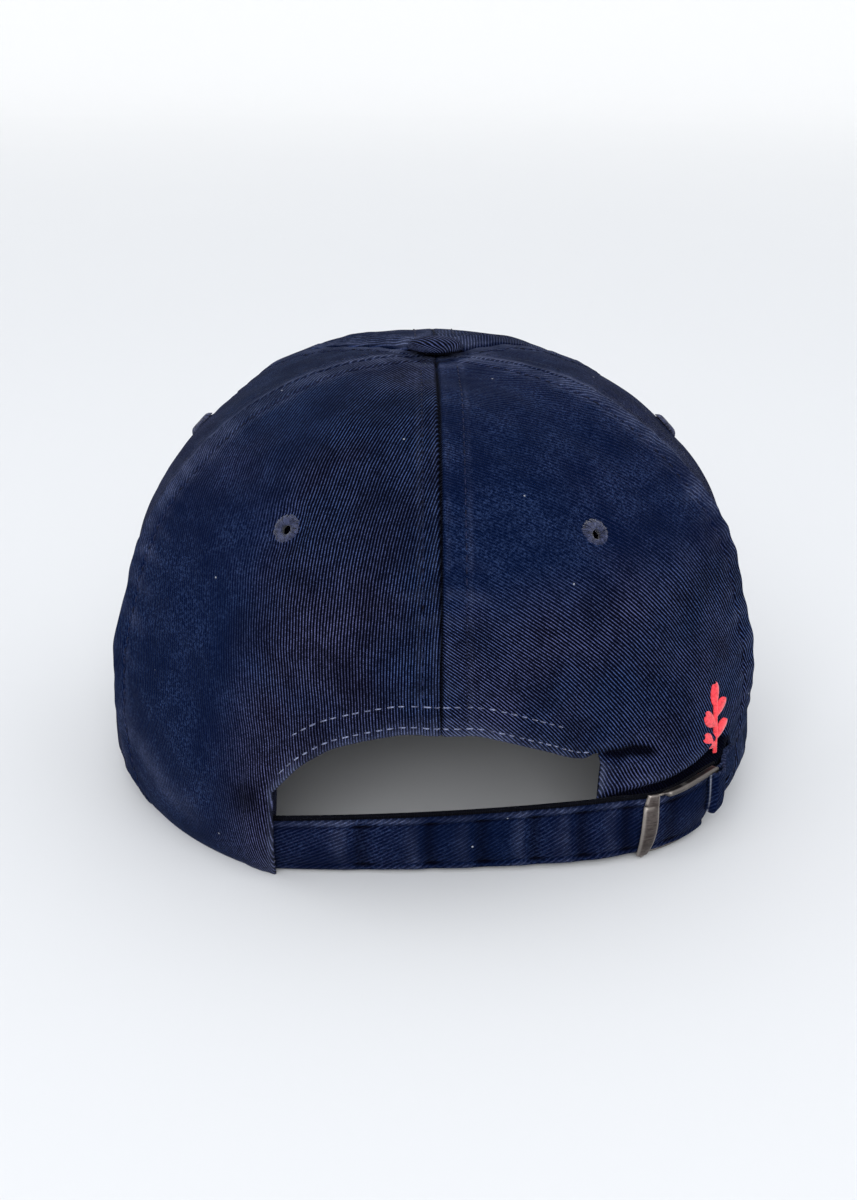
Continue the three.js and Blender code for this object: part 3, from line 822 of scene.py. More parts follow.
METAL_DARK = (0.040, 0.031, 0.029, 1)
METAL_LIGHT = (0.10, 0.083, 0.077, 1)
METAL_BRUSHED = (0.16, 0.14, 0.132, 1)
METAL_BRIGHT = (0.50, 0.46, 0.42, 1)
METAL_SHADE = (0.008, 0.008, 0.012, 1)


def metal_material(name):
    """Antique nickel: rubbed bright on raised edges, brownish and dull elsewhere, finely brushed, and
    darkened by painted shade where the piece asks for it.
    """
    graph = Graph(name)
    place = graph.object_place()
    stretched = graph.node("Mapping")
    graph.feed(stretched.inputs["Vector"], place)
    graph.feed(stretched.inputs["Scale"], (260.0, 260.0, 3200.0))
    brushed = graph.noise(stretched.outputs[0], 1.0, 3.0, 0.6)
    patina = graph.spread(graph.noise(place, 330.0, 4.0, 0.65), 0.35, 0.7)
    edge = graph.spread(graph.node("NewGeometry").outputs["Pointiness"], 0.5, 0.56)
    color = graph.mix(patina, METAL_DARK, METAL_LIGHT)
    color = graph.mix(graph.spread(brushed, 0.35, 0.75, 0.0, 0.45), color, METAL_BRUSHED)
    color = graph.mix(graph.times(edge, 0.5), color, METAL_BRIGHT)
    # Painted shade: near-black where the buckle's attribute marks the rails and bar lying in shadow
    color = graph.mix(graph.attribute("painted_shade"), color, METAL_SHADE)
    graph.bump(graph.times(brushed, 0.00003))
    return graph.finish(color, Metallic=0.85, Roughness=graph.spread(brushed, 0.3, 0.7, 0.5, 0.36))


def satin_material(name, dark, light):
    """Embroidery thread with a soft lustre along its lay."""
    graph = Graph(name)
    tone = graph.spread(graph.noise(graph.object_place(), 1400.0, 2.0, 0.6), 0.3, 0.7)
    color = graph.mix(tone, dark, light)
    return graph.finish(color, Roughness=0.45, Sheen_Weight=0.35, Specular_IOR_Level=0.4)


# The panels

def shares_at(rises, arcs):
    """The share of the way up at arc lengths, for each column."""
    return np.stack([np.interp(arc, rise, UP_TABLE) for rise, arc in zip(rises, arcs)])


def plain_grid(side, low, high, fine, coarse):
    """Azimuths and shares up of a panel with a plain lower edge."""
    width = CROWN_HALF_WIDTH * math.radians(high - low)
    across = graded(width, True, True, fine, coarse) / width
    azimuths = side * (low + (high - low) * across)
    rises = rise_columns(azimuths)
    steps = edge_first(rises[0][-1], coarse)
    ups = shares_at(rises, steps[None, :] * rises[:, -1:] / steps[-1])
    return np.repeat(azimuths[:, None], ups.shape[1], axis=1), ups, np.ones(ups.shape, bool)


def opening_grid(side, high, fine, coarse):
    """Azimuths and shares up of a back panel: its lower edge is the arch, then the rim."""
    end_height = float(arch_height(side * OPENING_HALF_WIDTH))
    end_turn = abs(float(end_azimuth(side, np.array(end_height))))
    inner_width = CROWN_BACK_REACH * math.radians(end_turn)
    outer_width = CROWN_HALF_WIDTH * math.radians(high - end_turn)
    inner = graded(inner_width, True, False, fine, coarse) / inner_width
    outer = graded(outer_width, False, True, fine, coarse) / outer_width
    outer = outer[outer > (EDGE_STEPS[-1] + 0.6) / outer_width]
    outer = np.concatenate([EDGE_STEPS / outer_width, outer])
    turns = np.concatenate([inner * end_turn, end_turn + outer[1:] * (high - end_turn)])
    first_outer = len(inner) - 1
    rises = rise_columns(side * turns)
    floor_height = np.full(len(turns), end_height)
    for _ in range(10):
        radius = outline(side * turns[:first_outer], share_at_height(floor_height[:first_outer]))[0]
        floor_height[:first_outer] = arch_height(side * radius * np.sin(np.radians(turns[:first_outer])))
    floor_shares = share_at_height(floor_height)
    floors = np.array([np.interp(share, UP_TABLE, rise) for share, rise in zip(floor_shares, rises)])
    low_steps = edge_first(floors[-1], coarse)[:-1]
    high_steps = edge_first(rises[-1][-1] - floors[-1], coarse)
    low_arcs = low_steps[None, :] * floors[:, None] / floors[-1]
    high_arcs = high_steps[None, :] * (rises[:, -1:] - floors[:, None]) / high_steps[-1]
    ups = shares_at(rises, np.concatenate([low_arcs, floors[:, None] + high_arcs], axis=1))
    heights = outline(side * turns[:, None], ups)[1]
    ends = np.abs(end_azimuth(side, np.minimum(heights, end_height)))
    share = np.clip((turns - end_turn) / (high - end_turn), 0, 1)[:, None]
    azimuths = side * np.where(share > 0, ends + (high - ends) * share, turns[:, None])
    azimuths[first_outer] = side * ends[first_outer]
    exists = np.ones(ups.shape, bool)
    exists[:first_outer, :len(low_steps)] = False
    return azimuths, ups, exists


def shell(name, outer, inner, exists, flip, materials):
    """A closed cloth shell from two grids of points; returns the piece."""
    columns, rows = exists.shape
    number = np.full(exists.shape, -1)
    number[exists] = np.arange(exists.sum())
    count = int(exists.sum())
    quads = []
    for i in range(columns - 1):
        for j in range(rows - 1):
            corner = (number[i, j], number[i + 1, j], number[i + 1, j + 1], number[i, j + 1])
            if min(corner) >= 0:
                quads.append(corner if not flip else corner[::-1])
    edges = dict.fromkeys(edge for quad in quads for edge in zip(quad, quad[1:] + quad[:1]))
    border = [(a, b) for a, b in edges if (b, a) not in edges]
    faces = [tuple(int(k) for k in quad) for quad in quads]
    faces += [tuple(int(k) + count for k in reversed(quad)) for quad in quads]
    faces += [(int(b), int(a), int(a) + count, int(b) + count) for a, b in border]
    vertices = np.concatenate([outer[exists], inner[exists]])
    return new_object(name, to_row(vertices), faces, materials)


TWILL_TRUE_RISE = 55.0
FLAP_SHEAR = 0.55
FLAP_TOP = 25.0
FLAP_EASE = 4.0
PANEL_FINE = 0.45
PANEL_COARSE = 1.0
PLAIN_GROWTH = 1.3
LINING_RELIEF = 0.8


def make_panel(name, side, low, high, taper, curl, material):
    """One panel; its twill narrows upwards by a taper and bends above the true rise by a curl."""
    at_back = low == 0
    if at_back:
        azimuths, ups, exists = opening_grid(side, high, PANEL_FINE, PANEL_COARSE)
    else:
        fine, coarse = PANEL_FINE * PLAIN_GROWTH, PANEL_COARSE * PLAIN_GROWTH
        azimuths, ups, exists = plain_grid(side, low, high, fine, coarse)
    out, wear_and_painted_light = relief(azimuths, ups)
    base = crown_point(azimuths, ups)
    for eyelet, place in EYELETS.items():
        if name.endswith(eyelet.replace("eyelet", "")):
            exists &= np.linalg.norm(base - wall_point(*place), axis=-1) > EYELET_CUT
    rise = np.interp(ups, UP_TABLE, MIDDLE_RISE)
    edge = rise
    if at_back:
        edge = np.minimum(rise, opening_distance(base[..., 0], base[..., 2]))
    half = CLOTH / 2
    fullness = half * rounded(edge, half)
    outer = crown_point(azimuths, ups, out - half + fullness)
    inner = crown_point(azimuths, ups, LINING_RELIEF * out - half - fullness)
    piece = shell(name, outer, inner, exists, side < 0, [material])
    across = outline(azimuths, ups)[0] * np.radians(azimuths - side * (low + high) / 2)
    across = across * (1 - taper * (rise - TWILL_TRUE_RISE) / CROWN_HALF_WIDTH)
    across = across - curl * np.maximum(rise - TWILL_TRUE_RISE, 0) ** 2 / 2
    calm = 0.5 + 0 * rise
    if at_back and side > 0:
        across = across + FLAP_SHEAR * FLAP_EASE * np.log1p(np.exp((FLAP_TOP - rise) / FLAP_EASE))
        calm = smooth((rise - 70) / 22)
    elif at_back:
        calm = smooth((np.abs(azimuths) - 27) / 15) * (1 - 0.6 * smooth((rise - 90) / 30))
    cloth = np.stack([across, rise], axis=-1)[exists]
    set_uv(piece, np.concatenate([cloth, cloth]))
    set_attribute(piece, "wear_and_painted_light", np.concatenate([wear_and_painted_light[exists], 0 * wear_and_painted_light[exists]]))
    set_attribute(piece, "calm", np.concatenate([calm[exists], calm[exists]]))
    return dress(piece, [name.replace("cloth_", "")])


# Each panel's side, its two seams, how far its twill leans left of its middle line, its taper, its curl
# and how strongly its ribs show
PANELS = {
    "panel_back_left": (-1, SEAMS[0], SEAMS[1], 11.3, 0.1, 0.0022, 1.2),
    "panel_back_right": (1, SEAMS[0], SEAMS[1], 42, 0.6, 0.0, 1.6),
    "panel_side_left": (-1, SEAMS[1], SEAMS[2], 42, 0.3, 0.0, 1.1),
    "panel_side_right": (1, SEAMS[1], SEAMS[2], 8, 0.1, 0.0, 1.1),
    "panel_front_left": (-1, SEAMS[2], SEAMS[3], 27, 0.2, 0.0, 1.1),
    "panel_front_right": (1, SEAMS[2], SEAMS[3], 27, 0.2, 0.0, 1.1),
}


# Small forms joined into one piece

class Forms:
    """Vertices and faces of several forms, joined into one mesh."""

    def __init__(self):
        self.vertices = []
        self.faces = []
        self.slots = []
        self.cloth = []
        self.count = 0

    def add(self, vertices, faces, slot=0, cloth=None):
        self.faces += [tuple(int(k) + self.count for k in face) for face in faces]
        self.slots += [slot] * len(faces)
        self.vertices.append(np.asarray(vertices, float))
        self.cloth.append(np.zeros((len(vertices), 2)) if cloth is None else cloth)
        self.count += len(vertices)

    def tube(self, path, outward, width, thick, sides=6, slot=0):
        """A closed tube of oval section along a path, its thickness pointing outward."""
        path = np.asarray(path, float)
        tangent = np.gradient(path, axis=0)
        across = unit(np.cross(tangent, outward))
        up = unit(np.cross(across, tangent))
        turns = np.arange(sides) * 2 * math.pi / sides
        width = np.broadcast_to(width, len(path))[:, None, None] / 2
        thick = np.broadcast_to(thick, len(path))[:, None, None] / 2
        rings = path[:, None] + across[:, None] * np.cos(turns)[None, :, None] * width
        rings = rings + up[:, None] * np.sin(turns)[None, :, None] * thick
        faces = []
        for i in range(len(path) - 1):
            for j in range(sides):
                k = (j + 1) % sides
                faces.append((i * sides + j, (i + 1) * sides + j, (i + 1) * sides + k, i * sides + k))
        last = (len(path) - 1) * sides
        faces.append(tuple(range(sides)))
        faces.append(tuple(last + j for j in reversed(range(sides))))
        self.add(rings.reshape(-1, 3), faces, slot)

    def slab(self, top, bottom, slot=0, cloth=None):
        """A closed slab between two grids of points."""
        columns, rows = top.shape[:2]
        faces = []
        layer = columns * rows
        for i in range(columns - 1):
            for j in range(rows - 1):
                a, b = i * rows + j, (i + 1) * rows + j
                faces.append((a, b, b + 1, a + 1))
                faces.append((layer + a, layer + a + 1, layer + b + 1, layer + b))
        rim = [(i * rows, (i + 1) * rows) for i in range(columns - 1)]
        rim += [((columns - 1) * rows + j, (columns - 1) * rows + j + 1) for j in range(rows - 1)]
        rim += [((i + 1) * rows + rows - 1, i * rows + rows - 1) for i in range(columns - 1)]
        rim += [(j + 1, j) for j in range(rows - 1)]
        faces += [(b, a, layer + a, layer + b) for a, b in rim]
        points = np.concatenate([top.reshape(-1, 3), bottom.reshape(-1, 3)])
        if cloth is not None:
            cloth = np.concatenate([cloth.reshape(-1, 2)] * 2)
        self.add(points, faces, slot, cloth)

    def wall_slab(self, azimuth, height, depth, half, cloth=None):
        """A slab laid along the wall, half a thickness either side of a depth."""
        outer = wall_point(azimuth, height, depth + half)
        self.slab(outer, wall_point(azimuth, height, depth - half), 0, cloth)

    def make(self, name, materials):
        piece = new_object(name, to_row(np.concatenate(self.vertices)), self.faces, materials)
        piece.data.polygons.foreach_set("material_index", self.slots)
        set_uv(piece, np.concatenate(self.cloth))
        return piece


def round_edge(share, length, radius):
    """How full a sheet is near its two ends: a little at the very edge, 1 past a radius."""
    return rounded(np.minimum(share, 1 - share) * length, radius)


def outward_at(azimuth, height):
    return unit(wall_point(azimuth, height, 1.0) - wall_point(azimuth, height))


def sew(forms, points, outward, length=2.3, width=STITCH_WIDTH, pitch=STITCH_PITCH, proud=0.14, slot=0,
        uneven=0.12):
    """Stitches along a line of points, each rising out of the cloth and going back into it."""
    run = run_along(points)
    draw = random.Random(SEED + len(points))
    for start in np.arange(pitch / 2, run[-1] - length, pitch):
        ease = start + draw.uniform(-uneven, uneven)
        places = ease + length * draw.uniform(1 - uneven, 1) * np.array([0, 0.14, 0.5, 0.86, 1.0])
        normal = at_places(places, run, outward)
        lift = proud * np.array([-1.6, 0.3, 1, 0.3, -1.6])
        wide = width * np.array([0.5, 0.9, 1, 0.9, 0.5]) * draw.uniform(0.9, 1.15)
        path = at_places(places, run, points) + normal * lift[:, None]
        forms.tube(path, normal, wide, wide * 0.85, 6, slot)


# The stitching of the crown

def seam_rows():
    """Each stitched row beside a seam: its seam, its offset and the share of the way up of its start."""
    rows = []
    for seam in SEAM_LINES:
        offsets = BACK_SEAM_ROWS if seam == 0 else (-STITCH_OFFSET, STITCH_OFFSET)
        low = share_at_height(OPENING_HEIGHT + 1.2 if seam == 0 else 1.6)
        rows += [(seam, offset, float(low)) for offset in offsets]
    return rows


def sew_on_cloth(forms, azimuths, ups, *settings):
    outward = crown_point(azimuths, ups, 1.0) - crown_point(azimuths, ups)
    sew(forms, cloth_point(azimuths, ups), outward, *settings)


def make_seam_stitches(material):
    forms = Forms()
    for seam, offset, low in seam_rows():
        ups = np.linspace(low, 0.95, 260)
        radius = outline(seam, ups)[0]
        clear = radius > 12.5
        sew_on_cloth(forms, seam + np.degrees(offset / radius[clear]), ups[clear])
    return dress(forms.make("stitches_seams", [material]), [])


def arch_row(distance, low_height):
    """A line over the cloth at a distance outside the opening's edge."""
    run = averaged(np.gradient(OPENING[1:-1], axis=0), np.ones(15), **HELD)
    arch = OPENING[1:-1] + unit(np.stack([-run[:, 1], run[:, 0]], axis=1)) * distance
    side = OPENING_HALF_WIDTH + distance
    arch = arch[np.abs(arch[:, 0]) < side - 0.5]
    left = np.stack([np.full(20, -side), np.linspace(low_height, arch[0, 1] - 1, 20)], axis=1)
    line = np.concatenate([left, arch])
    run = run_along(line)
    return averaged(at_places(np.linspace(0, run[-1], 400), run, line), np.ones(13), **HELD)


# The hem's rows: distance from the opening's edge, and their ends as shares of its half width
HEM_ROWS = ((HEM_INNER_ROW, -0.98, 0.95), (HEM_WIDTH, -0.9, 0.78))


def make_hem_stitches(material):
    forms = Forms()
    for distance, first, last in HEM_ROWS:
        line = arch_row(distance, OPENING_END_HEIGHT - 2)
        share = line[:, 0] / OPENING_HALF_WIDTH
        line = line[(share > first) & (share < last)]
        ups = share_at_height(line[:, 1])
        sew_on_cloth(forms, azimuth_at(line[:, 0], ups), ups, 2.3, 0.36, 3.1, 0.12, 0, 0.3)
    return dress(forms.make("stitches_hem", [material]), [])


# Eyelets and the button

EYELET_LOOPS = 46
EYELET_DISH = 0.032


def make_eyelet(name, azimuth, height, materials):
    """Loops of thread over the cut edge, outside and inside, with a dark ring under them."""
    forms = Forms()
    draw = random.Random(SEED + len(name) + int(height))
    centre = cloth_point(azimuth, share_at_height(height))
    normal = outward_at(azimuth, height)
    side = unit(np.cross((0, 0, 1), normal))
    rise = np.cross(normal, side)
    for k in range(EYELET_LOOPS):
        turn = 2 * math.pi * (k + draw.uniform(-0.25, 0.25)) / EYELET_LOOPS
        arm = math.cos(turn) * side + math.sin(turn) * rise
        reach = EYELET_OUTER + draw.uniform(-0.3, 0.25)
        hole = EYELET_HOLE + draw.uniform(-0.12, 0.16)
        away = np.array([reach, reach - 0.7, 2.9, 2.0, hole, hole - 0.05, hole + 0.25, 2.9, 3.9])
        inside = -CLOTH - np.array([0.3, 0.55, 0.2])
        deep = np.concatenate([[-0.3, 0.28, 0.5, 0.42, 0.02, -CLOTH / 2], inside])
        deep = deep - EYELET_DISH * away ** 2
        path = centre + away[:, None] * arm + deep[:, None] * normal
        facing = [(0, 1), (0.3, 1), (0, 1), (-0.4, 1), (-1, 0.4), (-1, 0), (-1, -0.6), (0, -1), (0, -1)]
        outward = np.array(facing)[:, :1] * arm + np.array(facing)[:, 1:] * normal
        wide = 2 * math.pi * away / EYELET_LOOPS * 0.95
        forms.tube(path, outward, np.clip(wide, 0.2, 0.5), 0.34, 5, 0)
    ring = np.linspace(0, 2 * math.pi, 41)
    arms = np.cos(ring)[:, None] * side + np.sin(ring)[:, None] * rise
    section = [(3.6, -0.1), (2.6, 0.12), (1.75, -0.1)]
    section += [(1.7, -CLOTH - 0.1), (2.6, -CLOTH - 0.25), (3.4, -CLOTH)]
    rings = [centre + away * arms + (deep - EYELET_DISH * away ** 2) * normal for away, deep in section]
    grid = np.stack(rings + [rings[0]], axis=1)[:-1]
    forms.add(grid.reshape(-1, 3), ring_faces(*grid.shape[:2], inward=True), 1)
    return dress(forms.make("thread_" + name, materials), [name])


# The button's section from its neck to the middle of its top: radius and height
BUTTON_PROFILE = (
    (2.3, -2.4), (5.3, -2.4), (5.5, -2.0), (5.3, -1.8), (2.35, -1.7), (2.3, 0.5),
    (6.2, 0.55), (7.2, 0.85), (7.8, 1.3), (8.0, 1.8), (7.9, 2.3), (7.5, 2.85),
    (6.8, 3.35), (5.9, 3.7), (4.7, 4.0), (3.4, 4.2), (2.0, 4.32), (0.8, 4.36),
)


def make_button(material):
    """A cloth-covered dome, slightly uneven, with its cloth drawn in beneath."""
    profile = np.array(BUTTON_PROFILE)
    columns, rows = 96, len(profile)
    turns = np.arange(columns)[:, None] * 2 * math.pi / columns
    radius = profile[None, :, 0] + 0 * turns
    height = profile[None, :, 1] + 0 * turns
    x, y = radius * np.cos(turns), radius * np.sin(turns)
    dent = crumple(np.stack([x, y, height], axis=-1)) * 0.09 * (height > 0.6)
    points = np.stack([x * (1 + 0.006 * dent), y + APEX_SHIFT, height + dent + CROWN_HEIGHT], axis=-1)
    faces = ring_faces(columns, rows)
    faces.append(tuple(i * rows + rows - 1 for i in range(columns)))
    faces.append(tuple(i * rows for i in reversed(range(columns))))
    forms = Forms()
    stretch = 1 + 0.5 * np.clip(3.2 - height, 0, 2)
    cloth = np.stack([x, y], axis=-1) * stretch[..., None] / 1.15
    forms.add(points.reshape(-1, 3), faces, 0, cloth.reshape(-1, 2))
    piece = forms.make("cloth_top_button", [material])
    # The dome's rim is faded; the cloth under the dome, below 1.5 mm, gets painted shade
    set_attribute(piece, "wear_and_painted_light", (0.3 * hump(height - 2.4, 0.6) * (radius > 7) - (height < 1.5)).ravel())
    return dress(piece, ["top_button"])


# The strap

def strap_foot(azimuth):
    return STRAP_FLOOR_GAP + STRAP_RIGHT_LIFT * smooth((np.asarray(azimuth, float) + 10) / 40)


TAIL_CLIMB = 3.3


def tail_climb(azimuth):
    """How much higher the strap's top edge, the upper rail and the loop run beyond the plate."""
    return TAIL_CLIMB * smooth((np.asarray(azimuth, float) - 38) / 12)


def strap_paths(rise, depth):
    """Points along the strap at rises above its lower edge, at depths through its thickness."""
    inside = np.linspace(STRAP_HIDDEN_AZIMUTH, -STRAP_OPENING_AZIMUTH, 24)
    outside = np.linspace(STRAP_OPENING_AZIMUTH, STRAP_TAIL_AZIMUTH, 70)
    left = wall_point(inside, strap_foot(inside) + rise, -CLOTH - GAP - STRAP_THICKNESS + depth)
    lift = tail_climb(outside) * rise / STRAP_HEIGHT
    right = wall_point(outside, strap_foot(outside) + rise + lift, LAID_GAP + depth)
    share = np.linspace(0, 1, 152)[1:-1, None]
    bridge = left[-1] + (right[0] - left[-1]) * share
    bridge[:, 1] -= (STRAP_BOW * 4 * share * (1 - share))[:, 0]
    path = np.concatenate([left, bridge, right])
    run = run_along(path)
    even = np.linspace(0, run[-1], 330)
    return averaged(at_places(even, run, path), bell(17), **STRAIGHT_ON), even


# The strap's soft creases: distance along it, width, depth
STRAP_CREASES = (
    (34, 3.2, 0.35), (53, 2.6, 0.5), (66, 3.0, 0.45), (81, 2.4, 0.4),
    (93, 3.0, 0.5), (106, 2.6, 0.4), (118, 3.4, 0.35), (136, 3.0, 0.3),
)
STRAP_BACKING = 0.7
STRAP_FOLD = 1.9
STRAP_FRONT = STRAP_HEIGHT - 1.1
STRAP_SLANT = 0.22
STRAP_EDGE = np.array([0, 0.15, 0.4, 0.8, 1.3, 1.8, 2.3])
BACKING_EDGE = np.array([0.9, 0.4, 0.12, 0])


def strap_relief(rise, run):
    """How far the strap's face stands out, and its fading and painted light, along one line at a rise above
    its edge.
    """
    edge = min(rise, STRAP_FRONT - rise)
    out = 0.3 * hump(edge - 0.9, 0.8) - 0.28 * hump(edge - STRAP_FOLD - 0.3, 0.5)
    # Both edges are faded; the upper edge is painted lighter, a painted highlight, and painted shade
    # darkens the groove inside the fold
    upper = 1 if rise > STRAP_FRONT / 2 else 0.45
    wear_and_painted_light = 0.75 * hump(edge - 0.7, 0.7) * upper - 0.5 * hump(edge - 2.1, 0.4) + 0 * run
    lean = 2.0 * (rise / STRAP_FRONT - 0.5)
    free = smooth((3.6 - np.abs(edge - STRAP_FRONT / 2) / (STRAP_FRONT / 6)) / 1.2)
    for place, width, depth in STRAP_CREASES:
        along = run - place - lean
        groove = free * hump(along - 1.5 * width, width)
        out = out + 0.5 * depth * free * hump(along, width) - depth * groove
        # A painted highlight on each crease's crest and painted shade in its groove
        wear_and_painted_light = wear_and_painted_light + 0.42 * free * hump(along, 0.8 * width) - 0.5 * groove
    where = np.stack([run, run * 0 + rise], axis=1)
    return np.minimum(out + 0.1 * crumple(where) * (edge > 0.5), 0.32), wear_and_painted_light


def make_strap(material, backing_material):
    face, lining, cloth, wear_and_painted_light = [], [], [], []
    steps = [STRAP_EDGE, np.linspace(3, STRAP_FRONT - 3, 15), STRAP_FRONT - STRAP_EDGE[::-1]]
    for rise in np.concatenate(steps):
        outer, run = strap_paths(rise, STRAP_THICKNESS)
        inner = strap_paths(rise, STRAP_BACKING)[0]
        through = unit(outer - inner)
        middle = (outer + inner) / 2
        full = rounded(min(rise, STRAP_FRONT - rise), 0.8, 0.03)
        full = full * rounded(np.minimum(run, run[-1] - run), 0.8, 0.03)
        half = (STRAP_THICKNESS - STRAP_BACKING) / 2 * full
        out, bright = strap_relief(rise, run)
        face.append(middle + through * (half + out)[:, None])
        lining.append(middle - through * half[:, None])
        slant = -STRAP_SLANT * 14 * np.log1p(np.exp(-(run - 30) / 14))
        cloth.append(np.stack([run, rise + slant], axis=1))
        wear_and_painted_light.append(bright)
    forms = Forms()
    forms.slab(np.stack(face, axis=1), np.stack(lining, axis=1), 0, np.stack(cloth, axis=1))
    piece = forms.make("cloth_strap", [material])
    wear_and_painted_light = np.stack(wear_and_painted_light, axis=1).ravel()
    # The inner face gets painted shade, one step darker than the outer face
    set_attribute(piece, "wear_and_painted_light", np.clip(np.concatenate([wear_and_painted_light, wear_and_painted_light - 1]), -1, 1))
    set_attribute(piece, "calm", np.full(2 * len(wear_and_painted_light), 0.75))
    dress(piece, ["strap"])
    # The backing, in near-black tape, stands a little above the strap's face along its top edge, where it
    # also serves as painted shade
    steps = np.concatenate([[0.5, 0.6, 0.9, 2, 6, 11, 15], STRAP_HEIGHT - BACKING_EDGE])
    full = rounded(STRAP_HEIGHT - steps, 0.45, 0.04)
    full[0] = 0.3
    sides = []
    for sign in (1, -1):
        depths = STRAP_BACKING * (0.5 + sign * 0.45 * full)
        sides.append(np.stack([strap_paths(*place)[0] for place in zip(steps, depths)], axis=1))
    cloth = np.stack(np.broadcast_arrays(run[:, None], steps[None]), axis=-1)
    forms = Forms()
    forms.slab(*sides, 0, cloth)
    return dress(forms.make("strap_backing", [backing_material]), [])


# The buckle and its loop

PLATE_AZIMUTH = 37.2
PLATE_LEAN = 0.9
BUCKLE_METAL = 1.0
END_BAR_AZIMUTH = 49.3
END_BAR_WIDTH = 1.4
LOOP_CLOTH = 0.9
LOOP_ROOT_AZIMUTH = 57.2
LOOP_LIFT = 9.0
LOOP_LOW_CLIMB = 3.2
LOOP_RISE = 2.0
LOWER_RAIL_REACH = 0.84
RAIL_TUCK = 0.9
SHEET_EDGE = np.array([0, 0.01, 0.03, 0.06, 0.1])
ON_STRAP = LAID_GAP + STRAP_THICKNESS + GAP
ON_LOOP = ON_STRAP + LOOP_CLOTH + GAP


def degrees_of(length):
    return np.degrees(length / CROWN_HALF_WIDTH)


def eased(count):
    """Shares from 0 to 1, close together at both ends."""
    return 0.5 - 0.5 * np.cos(math.pi * np.linspace(0, 1, count))


def make_buckle(material):
    """A bowed front plate, bent over the strap's top into a neck and rail, and a bar held by the loop."""
    foot = float(strap_foot(PLATE_AZIMUTH)) - GAP
    head = foot + STRAP_HEIGHT + 2 * GAP
    forms = Forms()
    up = eased(41)
    across = np.linspace(0, 1, 15)[:, None]
    bulge = 1 - (2 * up - 1) ** 2
    left = -(1.5 + 1.5 * bulge)
    right = 1.5 - 0.15 * bulge
    azimuth = PLATE_AZIMUTH + PLATE_LEAN * up + degrees_of(left + (right - left) * across)
    height = foot - 0.2 + (head - foot + 0.5) * up + 0 * azimuth
    full = round_edge(across, 4.0, 0.42) * round_edge(up, head - foot + 2, 0.45)
    depth = ON_STRAP + BUCKLE_METAL / 2 + 0.5 * bulge + 0.25 * np.sin(math.pi * across)
    forms.wall_slab(azimuth, height, depth, 0.48 * BUCKLE_METAL * full)
    along = np.linspace(0, 1, 50)[:, None]
    through = np.linspace(0, 1, 11)
    full = round_edge(through, 2.0, 0.4) + 0 * along
    neck = 0.34 + 0.66 * smooth((along - 0.2) / 0.04)
    for low, sign in ((foot - BUCKLE_METAL, -1), (head, 1)):
        span = (ON_LOOP + BUCKLE_METAL - ON_STRAP) * neck
        start = ON_STRAP + 0.25 * (1 - neck)
        reach = END_BAR_AZIMUTH - PLATE_AZIMUTH
        middle = low + BUCKLE_METAL / 2 + sign * 0.12 * np.sin(math.pi * along)
        stout = 0.46
        if sign > 0:
            azimuth = PLATE_AZIMUTH + reach * along + 0 * through
            middle = middle - 0.6 + tail_climb(azimuth[:, :1])
            stout = 0.3 + 0.45 * smooth((along - 0.2) / 0.05)
        else:
            azimuth = PLATE_AZIMUTH + LOWER_RAIL_REACH * reach * along + 0 * through
            tucked = smooth(along / 0.25)
            span = span * (1 - tucked) + BUCKLE_METAL * tucked
            start = start * (1 - tucked) + RAIL_TUCK * tucked
        depth = start + span * through
        half = stout * BUCKLE_METAL * full
        forms.slab(wall_point(azimuth, middle - half, depth), wall_point(azimuth, middle + half, depth))
    up = eased(31)
    across = np.linspace(0, 1, 9)[:, None]
    azimuth = END_BAR_AZIMUTH + degrees_of(END_BAR_WIDTH * (across - 0.5)) + 0 * up
    bar_low = foot + LOOP_LIFT + 0.4
    bar_height = head + 0.5 + TAIL_CLIMB - bar_low
    full = round_edge(across, END_BAR_WIDTH, 0.45) * round_edge(up, bar_height, 0.45)
    height = bar_low + bar_height * up + 0 * azimuth
    forms.wall_slab(azimuth, height, ON_LOOP + BUCKLE_METAL / 2, 0.5 * BUCKLE_METAL * full)
    piece = forms.make("metal_buckle", [material])
    # Painted shade over everything beyond the plate's end: the rails and the end bar, so they read as lying
    # in shadow
    places = np.array([tuple(vertex.co) for vertex in piece.data.vertices])
    plate_end = to_row(wall_point(PLATE_AZIMUTH + 3.5, foot, ON_STRAP))
    set_attribute(piece, "painted_shade", 0.5 * (places[:, 0] > plate_end[0]))
    return dress(piece, ["buckle"])


